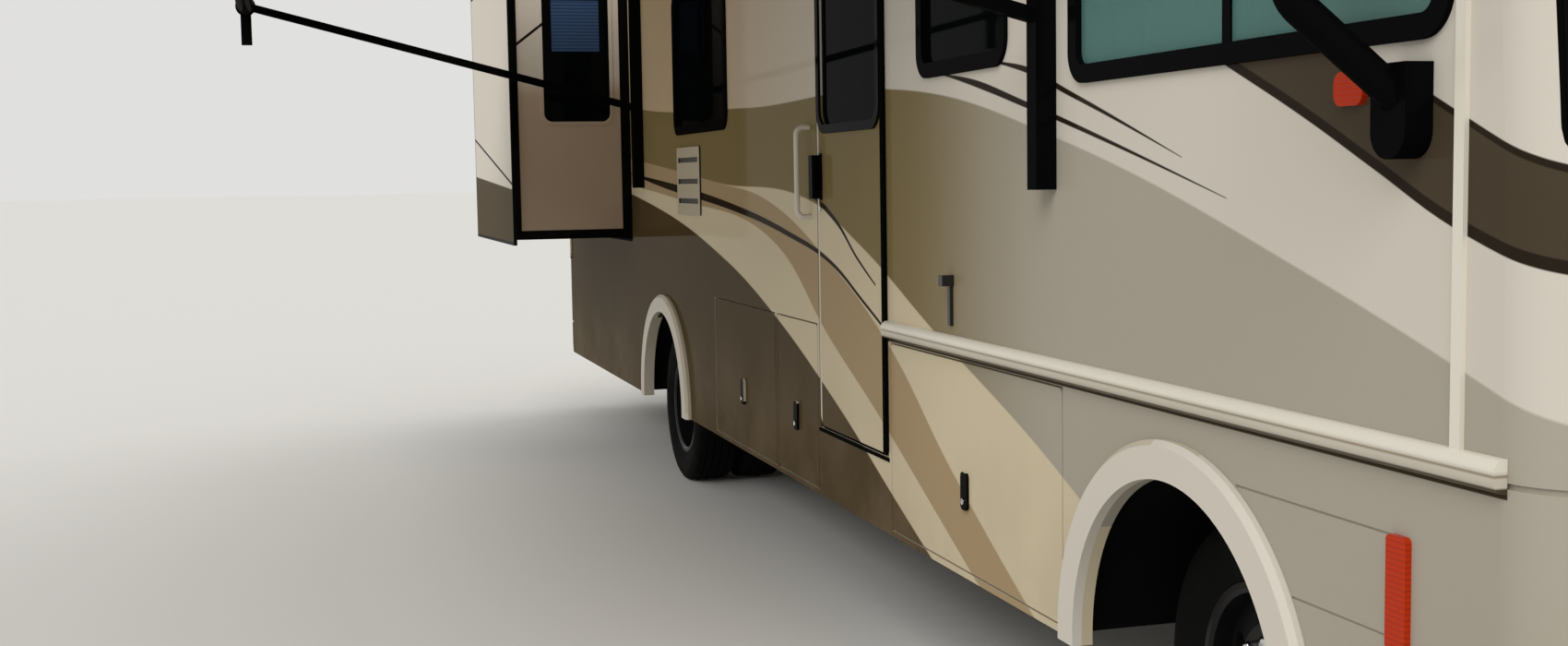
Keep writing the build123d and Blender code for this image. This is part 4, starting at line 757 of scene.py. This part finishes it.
def copy_piece(piece, name, shift):
    """A copy with its own mesh, moved in object mode."""
    twin = piece.copy()
    twin.data = piece.data.copy()
    twin.name = name
    twin.data.name = name
    twin.location = piece.location + Vector(shift)
    bpy.context.scene.collection.objects.link(twin)
    return twin


print("modelling helpers ready")

# %% [markdown]
# ## Tyres
# A coach tyre has long ribs round its crown, split by grooves, and shoulder blocks cut across at their
# edges. Its section is drawn once as a row of points, extruded one from the next, and spun round
# the axle. Then every third step along the shoulders is pushed in to cut the blocks apart.

# %% Turn one tyre
tyre_low, tyre_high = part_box("front_curb_tyre")
tyre_radius = (tyre_high.z - tyre_low.z) / 2
tyre_half = (tyre_high.x - tyre_low.x) / 2
groove_depth = 0.010
groove_half = 0.0045
tyre_steps = 108
# Half the section in (across, radius): bead, side and shoulder, then the ribs and their grooves
half = [(0.084, 0.2495), (0.094, 0.252), (0.099, 0.266), (0.104, 0.272), (0.105, 0.280)]
half += [(0.114, 0.296), (0.121, 0.322), (tyre_half, 0.345), (0.1215, 0.366)]
half += [(0.1225, 0.369), (0.1215, 0.373), (0.117, 0.392), (0.110, 0.404), (0.104, 0.412)]
half += [(0.094, tyre_radius - 0.002)]
for across, level in ((0.062, tyre_radius - 0.0008), (0.021, tyre_radius)):
    half += [(across + groove_half, level), (across + groove_half - 0.001, level - groove_depth)]
    half += [(across - groove_half + 0.001, level - groove_depth), (across - groove_half, level)]
liner = [(0.098, 0.392), (0.108, 0.345), (0.088, 0.275)]
section = half + [(-across, radius) for across, radius in reversed(half)]
section += [(-across, radius) for across, radius in reversed(liner)] + liner
hub = (tyre_low + tyre_high) / 2
model_tyre = start_piece("front_curb_tread", "plane", size=0.01, location=hub)
turn_section(model_tyre, section, hub, tyre_steps)


def in_slot(middle, normal):
    """Every third step along the shoulders, where a cut runs across."""
    out = middle - hub
    step = round(math.degrees(math.atan2(out.z, out.y)) / (360 / tyre_steps) - 0.5) % tyre_steps
    on_shoulder = math.hypot(out.y, out.z) > 0.398 and abs(out.x) > 0.066
    return step % 3 == 0 and on_shoulder and normal.dot(out) > 0


pick(model_tyre, in_slot)
mode("EDIT")
bpy.ops.mesh.select_mode(type="FACE")
bpy.ops.mesh.extrude_region_shrink_fatten(TRANSFORM_OT_shrink_fatten={"value": -0.006})
mode("OBJECT")
print(len(model_tyre.data.polygons), "faces on a tyre")

# %% Copy it to the other places
wheel_centres = {}
for name in ("front_curb", "front_street", "rear_curb", "rear_street"):
    low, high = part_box(name + "_tyre")
    middles = sorted({round(low.x + tyre_half, 4), round(high.x - tyre_half, 4)})
    centres = [Vector((across, (low.y + high.y) / 2, (low.z + high.z) / 2)) for across in middles]
    wheel_centres[name] = sum(centres, Vector()) / len(centres)
    treads = [model_tyre]
    if name != "front_curb":
        treads = [copy_piece(model_tyre, f"{name}_tread", centre - hub) for centre in centres]
    tread = join(f"{name}_tread", treads)
    finish_piece(tread, "tyre_rubber", f"{name}_wheel", 35)
    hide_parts(name + "_tyre")
    print(tread.name, "with", len(treads), "tyres")

# %% [markdown]
# ## Wheel nut caps
# Each stud carries a hexagon cap with a domed end. One cap is a six-sided cylinder with its outer face
# inset, lifted and bevelled. It is copied to eight places round each hub.

# %% Nut caps
def stud(name, centre, side, steps, vertices, radius, depth, bevel):
    """A short cylinder that faces one side, its end inset and moved in steps of (width, rise)."""
    piece = start_piece(name, "cylinder", vertices=vertices, radius=radius, depth=depth, location=centre,
                        rotation=(0, side * math.pi / 2, 0))
    bpy.ops.object.transform_apply(location=False, rotation=True, scale=False)
    pick(piece, lambda middle, normal: normal.x * side > 0.9)
    mode("EDIT")
    for width, rise in steps:
        bpy.ops.mesh.inset(thickness=width)
        bpy.ops.transform.translate(value=(side * rise, 0, 0))
    mode("OBJECT")
    apply_modifier(piece, "BEVEL", width=bevel, segments=2, limit_method="ANGLE")
    return piece


stud_ring = 0.1125
cap_length = 0.034
disc_face = {"front": 0.052, "rear": 0.014}
dome = ((0.003, 0.003), (0.007, 0.003))
for name, centre in wheel_centres.items():
    axle, label = name.split("_")
    side = sides[label]
    caps = []
    for number in range(8):
        angle = math.tau * number / 8
        reach = side * (disc_face[axle] + cap_length / 2)
        base = centre + Vector((reach, stud_ring * math.cos(angle), stud_ring * math.sin(angle)))
        if caps:
            caps.append(copy_piece(caps[0], f"{name}_nut", base - first_base))
        else:
            first_base = base
            caps.append(stud(f"{name}_nut_caps", base, side, dome, vertices=6, radius=0.0205,
                             depth=cap_length, bevel=0.0012))
    finish_piece(join(f"{name}_nut_caps", caps), "chrome", f"{name}_wheel", 30)
print("nut caps on", len(wheel_centres), "wheels")

# %% [markdown]
# ## Awning cloth
# The cloth hangs between the wall rail and the roller, tight across but sagging a little down its
# length. A grid is laid between the two lines and each row is lowered along a parabola, with slight
# scallops along the coach. It is a single skin made thick by a Solidify modifier.

# %% Lay the cloth
cloth_low, cloth_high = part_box("awning_fabric")
rail_line = Vector((cloth_high.x, 0, cloth_high.z - 0.003))
roll_line = Vector((cloth_low.x - 0.004, 0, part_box("awning_roller")[1].z + 0.003))
cloth_front = cloth_low.y + 0.004
cloth_rear = cloth_high.y - 0.004
cloth_sag = 0.045
cloth = start_piece("awning_cloth", "grid", x_subdivisions=40, y_subdivisions=90, size=1)
for vertex in cloth.data.vertices:
    across = vertex.co.x + 0.5
    along = vertex.co.y + 0.5
    point = rail_line.lerp(roll_line, across)
    belly = math.sin(math.pi * along) ** 0.5 if 0 < along < 1 else 0.0
    point.z -= 4 * cloth_sag * across * (1 - across) * (0.55 + 0.45 * belly)
    point.z += 0.004 * math.sin(along * math.tau * 7) * math.sin(math.pi * across) ** 2
    point.y = cloth_front + (cloth_rear - cloth_front) * along
    vertex.co = point
apply_modifier(cloth, "SOLIDIFY", thickness=0.0012, offset=0)

# %% Weave it: tan at the wall, fading to dark at the roller
material, shader, spot, x, y, z = start_material("awning_stripes")
fade = node(spot.tree, "ValToRGB", {"Fac": spread(x, cloth_low.x, cloth_high.x)})
stops = fade.socket.node.color_ramp.elements
stops[0].color = (*linear(70, 58, 48), 1)
stops[1].color = (*linear(168, 152, 128), 1)
stops.new(0.35).color = (*linear(96, 80, 64), 1)
weave = wave(spot, 60.0, "Y") * wave(spot, 60.0, "X")
feed(shader, {
    "Base Color": mix(weave * 0.25, fade, linear(60, 52, 44)),
    "Normal": bump(weave, 0.3, 0.0006),
    "Roughness": 0.85,
    "Sheen Weight": 0.2,
})
finish_piece(cloth, material, "coach", 30)
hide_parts("awning_fabric")
print("cloth woven")

# %% [markdown]
# ## Cab seats
# A captain's chair is a foam cushion and a tall foam back under stitched cover, two fold-down armrests
# and a headrest, on a steel pedestal. Each pad starts as a block with rounded corners and swells under
# Cloth pressure, which gives the crown and the pulled-in corners that no bevel gives.

# %% Swell one pad of each kind
seat_x = 0.6
seat_y = -4.0
seat_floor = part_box("floor")[1].z
cushion_top = seat_floor + 0.46
puff_frames = 20


def foam_pad(name, size, forward, up, outward=0.0, tilt=0.0, swell=0.012):
    """A block bevelled, remeshed and puffed by cloth pressure, with the swelling capped."""
    centre = (outward - seat_x, seat_y + forward, cushion_top + up)
    pad = start_piece(name, "cube", size=1, location=centre, rotation=(-math.radians(tilt), 0, 0))
    pad.scale = size
    bpy.ops.object.transform_apply(location=True, rotation=True, scale=True)
    apply_modifier(pad, "BEVEL", width=min(size) * 0.36, segments=4, limit_method="ANGLE")
    apply_modifier(pad, "REMESH", mode="VOXEL", voxel_size=0.014)
    before = [vertex.co.copy() for vertex in pad.data.vertices]
    puff = pad.modifiers.new("Cloth", "CLOTH")
    puff.settings.use_pressure = True
    puff.settings.uniform_pressure_force = 4.0
    puff.settings.effector_weights.gravity = 0
    puff.point_cache.frame_start = 1
    puff.point_cache.frame_end = puff_frames
    for frame_number in range(1, puff_frames + 1):
        bpy.context.scene.frame_set(frame_number)
    select_only(pad)
    bpy.ops.object.modifier_apply(modifier=puff.name)
    bpy.context.scene.frame_set(1)
    for vertex, old in zip(pad.data.vertices, before):
        move = vertex.co - old
        if move.length > swell:
            vertex.co = old + move * (swell / move.length)
    apply_modifier(pad, "SUBSURF", levels=1, render_levels=1)
    return pad


arm_out = 0.262
seat_pads = {
    "seat_cushion": foam_pad("seat_cushion", (0.50, 0.48, 0.12), forward=0.0, up=-0.068),
    "seat_back": foam_pad("seat_back", (0.47, 0.095, 0.60), forward=0.245, up=0.285, tilt=12),
    "headrest": foam_pad("headrest", (0.27, 0.08, 0.155), forward=0.325, up=0.645, tilt=12),
    "armrest": foam_pad("armrest", (0.058, 0.34, 0.062), forward=0.02, up=0.215, outward=arm_out,
                        swell=0.006),
}
print("pads:", {name: len(pad.data.polygons) for name, pad in seat_pads.items()})

# %% Dress both seats
seat_parts = {"curb": [], "street": []}
for name, pad in seat_pads.items():
    seat_parts["street"].append(copy_piece(pad, f"street_{name}", (2 * seat_x, 0, 0)))
    pad.name = f"curb_{name}"
    seat_parts["curb"].append(pad)
for label, pads in seat_parts.items():
    pads.append(copy_piece(pads[3], f"{label}_armrest_outer", (-2 * arm_out, 0, 0)))
for label, pads in seat_parts.items():
    for pad in pads:
        finish_piece(pad, "seat_cover", "coach")
        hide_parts("cab_seats")
    foot = (sides[label] * seat_x, seat_y, seat_floor + 0.026)
    base = start_piece(f"{label}_seat_pedestal", "cylinder", vertices=40, radius=0.17, depth=0.05,
                       location=foot)
    bpy.ops.object.transform_apply(location=True, rotation=True, scale=True)
    pick(base, lambda middle, normal: normal.z > 0.9)
    mode("EDIT")
    bpy.ops.mesh.inset(thickness=0.045)
    for rise, widen in ((0.22, 0.8), (0.012, 1.9), (0.03, 1.0)):
        bpy.ops.mesh.extrude_region_move(TRANSFORM_OT_translate={"value": (0, 0, rise)})
        bpy.ops.transform.resize(value=(widen, widen, 1))
    mode("OBJECT")
    apply_modifier(base, "BEVEL", width=0.008, segments=3)
    finish_piece(base, "black_trim", "coach", 35)
    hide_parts("cab_seats")
print("two cab seats dressed")

# %% [markdown]
# ## Seals, gaskets and hinges
# Rubber seals and piano hinges are long thin beads that follow an edge. Each is a curve with a round
# section, turned into a mesh, and a seal that lies flat on a wall is the same bead pressed thin.
# Rays cast at the curved caps find their surface, so a gasket follows it wherever it bends.

# %% A bead along an edge
def outline(low, high, radius, gap=0.12):
    """Points (along, up) round a rectangle with rounded corners, at most a gap apart."""
    corners = []
    left, right = low[0] + radius, high[0] - radius
    foot, head = low[1] + radius, high[1] - radius
    for quarter, (along, up) in enumerate(((right, head), (left, head), (left, foot), (right, foot))):
        for step in range(7):
            angle = math.radians(90 * quarter + 15 * step)
            corners.append(Vector((along + radius * math.cos(angle), up + radius * math.sin(angle))))
    points = []
    for first, second in zip(corners, corners[1:] + corners[:1]):
        count = max(1, math.ceil((second - first).length / gap))
        points += [first.lerp(second, step / count) for step in range(count)]
    return points


def bead(name, points, radius, closed=True, press=None, waists=None):
    """A round bead through points; press is (axis, level, share) to flatten it about a plane."""
    curve = bpy.data.curves.new(name, "CURVE")
    curve.dimensions = "3D"
    curve.bevel_depth = radius
    curve.bevel_resolution = 2
    curve.use_fill_caps = not closed
    line = curve.splines.new("POLY")
    line.points.add(len(points) - 1)
    for mark, point, waist in zip(line.points, points, waists or [1.0] * len(points)):
        mark.co = (*point, 1)
        mark.radius = waist
    line.use_cyclic_u = closed
    select_only(add_object(name, curve))
    bpy.ops.object.convert(target="MESH")
    piece = bpy.context.object
    piece.data.name = name
    if press:
        axis, level, share = press
        for vertex in piece.data.vertices:
            vertex.co[axis] = level + (vertex.co[axis] - level) * share
    return piece


def on_surface(name, start, direction, lift=0.0):
    """Where a ray first meets one of the frame's nodes, lifted off it a little."""
    found, point = nodes[name].ray_cast(Vector(start), Vector(direction))[:2]
    if not found:
        raise ValueError(f"no {name} in front of {start}")
    return point - Vector(direction) * lift


bpy.context.view_layer.update()
print("bead tools ready")

# %% Windscreen and rear window gaskets
front_ray = (0, 1, 0)
rear_ray = (0, -1, 0)
screen_low, screen_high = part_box("windscreen")
for name, glass, half, foot, head, corner, ray in (
    ("windscreen_gasket", "windscreen", screen_high.x, screen_low.z, screen_high.z, 0.086, front_ray),
    ("rear_window_gasket", "window_glass", 0.520, 1.950, 2.550, 0.064, rear_ray),
):
    spots = outline((0.004 - half, foot + 0.004), (half - 0.004, head - 0.004), corner, 0.08)
    points = [on_surface(glass, (along, -8 * ray[1], up), ray) for along, up in spots]
    finish_piece(bead(name, points, 0.007), "seal_rubber")
    print(name, "through", len(points), "points")

# %% Joint strips where each cap's face meets its rounded corners
joint_start = 1.117
joint_step = 0.002
joint_samples = 46


def joint_edges(cap, ray, side, up):
    """Points of a cap on either side of its open corner joint, at a height."""
    hits = []
    for step in range(joint_samples):
        start = Vector((side * (joint_start + joint_step * step), -8 * ray[1], up))
        found, point = nodes[cap].ray_cast(start, Vector(ray))[:2]
        hits.append(point.copy() if found and abs(point.y) > 4.85 else None)
    missed = [step for step, point in enumerate(hits) if point is None] or [12]
    return hits[max(missed[0] - 3, 0)], hits[min(missed[-1] + 3, joint_samples - 1)]


rear_groove = 0.646
for cap, ray, paint, joint_low, joint_high, rows in (
    ("front_cap", front_ray, "nose_paint", 2.925, 3.212, 20),
    ("rear_cap", rear_ray, "tail_paint", 0.422, 3.285, 120),
):
    for label, side in sides.items():
        strip = start_piece(f"{cap}_{label}_joint", "grid", x_subdivisions=6, y_subdivisions=rows, size=1)
        edges = {}
        for vertex in strip.data.vertices:
            row = round(vertex.co.y, 4)
            up = joint_low + (joint_high - joint_low) * (vertex.co.y + 0.5)
            if row not in edges:
                ray_up = up + 0.02 if abs(up - rear_groove) < 0.012 else up
                edges[row] = joint_edges(cap, ray, side, ray_up)
            share = vertex.co.x + 0.5
            vertex.co = edges[row][0].lerp(edges[row][1], share)
            vertex.co.y -= ray[1] * (0.0015 + 0.002 * share * (1 - share))
            vertex.co.z = up
        select_only(strip)
        mode("EDIT")
        bpy.ops.mesh.select_all(action="SELECT")
        bpy.ops.mesh.normals_make_consistent(inside=False)
        mode("OBJECT")
        apply_modifier(strip, "SOLIDIFY", thickness=0.003, offset=0)
        finish_piece(strip, paints[paint], "coach")
    print(cap, "corner joints,", round(joint_high - joint_low, 2), "m tall")

# %% Door seal, its piano hinge and the sill strip
wall_x = -half_width
gap = 0.0065
seal_spots = outline((door_low.y - gap, door_low.z - gap), (door_high.y + gap, door_high.z + gap), 0.055)
points = [(wall_x + 0.005, along, up) for along, up in seal_spots]
finish_piece(bead("door_seal", points, 0.0035), "seal_rubber")
knuckle = 0.0615
hinge_line = door_low.y - 0.0105
rows = int((door_high.z - door_low.z - 0.02) / knuckle)
points, waists = [], []
for row in range(rows):
    foot = door_low.z + 0.01 + row * knuckle
    for lift, waist in ((0.0, 0.9), (0.0012, 1.0), (knuckle - 0.0012, 1.0), (knuckle - 0.0002, 0.9)):
        points.append((wall_x - 0.010, hinge_line, foot + lift))
        waists.append(waist)
hinge = bead("door_hinge_strip", points, 0.012, closed=False, press=(1, hinge_line, 0.55), waists=waists)
finish_piece(hinge, "seal_rubber", smooth=50)
sill = door_low.z - 0.019
points = [(wall_x, door_low.y - 0.017, sill), (wall_x, door_high.y + 0.010, sill)]
finish_piece(bead("door_sill_strip", points, 0.008, closed=False, press=(0, wall_x, 0.8)), "seal_rubber")
print("door seal, hinge of", rows, "knuckles and sill strip")

# %% Wiper seals round the openings of both rooms
reach = 0.012
off = reach - 0.030
for label, side in sides.items():
    low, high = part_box(f"{label}_slide")
    level = side * half_width
    loop = outline((low.y - off, low.z - off), (high.y + off, high.z + off), 0.02)
    points = [(level, along, up) for along, up in loop]
    finish_piece(bead(f"{label}_room_seal", points, reach, press=(0, level, 0.5)), "seal_rubber")
print("room seals lie", round(reach * 0.5 * 1000), "mm proud of the walls")

# %% [markdown]
# ## Wipers
# Two arms reach up from the ledge under the windscreen and hold long blades parked along its lower
# edge. The blade has a stiff spine and a thin rubber lip that touches the glass, so both follow the
# bow of the screen. All its points are found on the glass by rays, then lifted by their own height.

# %% Two wipers
blade_height = 1.735
ledge_height = 1.612
for label, side in sides.items():
    parts = []
    for radius, lift in ((0.0025, 0.003), (0.005, 0.012)):
        places = [(side * (0.14 + 0.085 * step), -8, blade_height) for step in range(9)]
        points = [on_surface("windscreen", spot, front_ray, lift) for spot in places]
        parts.append(bead(f"{label}_wiper_blade", points, radius, closed=False))
    pivot = on_surface("front_cap", (side * 1.00, -8, ledge_height), front_ray, 0.012)
    middle = on_surface("windscreen", (side * 0.48, -8, blade_height), front_ray, 0.024)
    elbow = pivot.lerp(middle, 0.30) + Vector((0, -0.022, 0.014))
    arm = [pivot, elbow, middle]
    parts.append(bead(f"{label}_wiper_arm", arm, 0.0075, closed=False, waists=(1.6, 1.0, 0.7)))
    boss = start_piece(f"{label}_wiper_boss", "cylinder", vertices=28, radius=0.024, depth=0.034,
                       location=pivot, rotation=(math.pi / 2, 0, 0))
    apply_modifier(boss, "BEVEL", width=0.006, segments=3, limit_method="ANGLE")
    finish_piece(join(f"{label}_wiper", [*parts, boss]), "satin_black", smooth=45)
print("wipers parked on the windscreen")

# %% [markdown]
# ## Plates with rounded corners
# Mirror panes and the latch paddle are thin plates with rounded corners. One helper makes them: a
# plane at its place, its corners rounded by a vertex bevel, then made thick and its rim bevelled.

# %% Rounded plate
def plate(name, centre, width, height, corner, thick, turn):
    """A plate across X and Y of its own, turned about X into place, thick towards its own +Z."""
    piece = start_piece(name, "plane", size=1, location=centre)
    piece.scale = (width, height, 1)
    piece.rotation_euler = (turn, 0, 0)
    bpy.ops.object.transform_apply(location=False, rotation=False, scale=True)
    mode("EDIT")
    bpy.ops.mesh.select_all(action="SELECT")
    bpy.ops.mesh.bevel(offset=corner, segments=6, affect="VERTICES")
    bpy.ops.mesh.select_all(action="SELECT")
    bpy.ops.mesh.solidify(thickness=-thick)
    bpy.ops.mesh.normals_make_consistent(inside=False)
    mode("OBJECT")
    apply_modifier(piece, "BEVEL", width=thick * 0.35, segments=2, limit_method="ANGLE")
    return piece


head_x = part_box("mirrors")[1].x - 0.110
head_back = -4.813
for label, side in sides.items():
    panes = []
    for name, up, height in (("pane", 2.372, 0.225), ("wide", 2.178, 0.110)):
        centre = (side * head_x, head_back, up)
        panes.append(plate(f"{label}_mirror_{name}", centre, width=0.150, height=height, corner=0.02,
                           thick=0.004, turn=-math.pi / 2))
    finish_piece(join(f"{label}_mirror_pane", panes), "mirror_pane", "coach", 40)
print("mirror panes set in both heads")

# %% Latch paddle behind the entry door's grab bar
paddle_place = latch - Vector((0.0145, 0, 0))
paddle = plate("entry_door_paddle", paddle_place, width=0.029, height=0.108, corner=0.004,
               thick=0.006, turn=math.pi / 2)
finish_piece(paddle, "black_trim", "entry_door_leaf", smooth=35)
print("paddle set at", round(latch.y, 3), "m along the coach")

# %% Key cylinders on the lids and the entry door
door_lock_height = 1.56
lid_lock_height = 0.668
locks = []
for lid in lids:
    low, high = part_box(lid)
    side = sides[lid.split("_")[0]]
    face_x = low.x if side < 0 else high.x
    locks.append((lid, lid.replace("door", "lid"), side, (face_x, (low.y + high.y) / 2, lid_lock_height)))
locks.append(("entry_door", "entry_door_leaf", -1, (wall_x, latch.y, door_lock_height)))
for name, body, side, place in locks:
    centre = Vector(place) + Vector((side * 0.0025, 0, 0))
    lock = stud(f"{name}_lock", centre, side, ((0.0025, -0.0012),), vertices=24, radius=0.0105,
                depth=0.006, bevel=0.0008)
    finish_piece(lock, "chrome", body, 35)
print(len(locks), "key cylinders")

# %% [markdown]
# ## Floor and light
# The coach stands on a plain pale floor under a plain pale sky. A wide soft sun from ahead and the curb
# side gives the wall its light and puts the far end in shade, and the sky fills the rest evenly.

# %% World, suns and floor
world = bpy.data.worlds.new("studio")
bpy.context.scene.world = world
world.use_nodes = True
sky = world.node_tree
sky.nodes.clear()
camera_ray, glossy_ray, clear_ray = (
    node(sky, "LightPath", output=f"Is {kind} Ray") for kind in ("Camera", "Glossy", "Transmission"))
sky_fill = 0.62
sky_seen = 0.75
strength = mix(camera_ray | glossy_ray | clear_ray, sky_fill, sky_seen)
glow = node(sky, "Background", {"Color": (1, 0.995, 0.975), "Strength": strength})
feed(sky.nodes.new("ShaderNodeOutputWorld"), {"Surface": glow})

for name, strength, direction in (
    ("key_sun", 1.5, (-0.62, -0.66, 0.80)),
    ("fill_sun", 0.45, (0.75, 0.35, 0.70)),
):
    lamp = add_object(name, bpy.data.lights.new(name, "SUN"))
    lamp.data.energy = strength
    lamp.data.angle = math.radians(40)
    lamp.rotation_euler = Vector(direction).to_track_quat("Z", "Y").to_euler()

floor_sheet = start_piece("studio_floor", "plane", size=600, location=(0, 0, -0.001))
material, shader, spot, x, y, z = start_material("studio_floor")
feed(shader, {"Base Color": linear(218, 216, 211), "Roughness": 0.9})
floor_sheet.data.materials.append(material)
print("stage set")
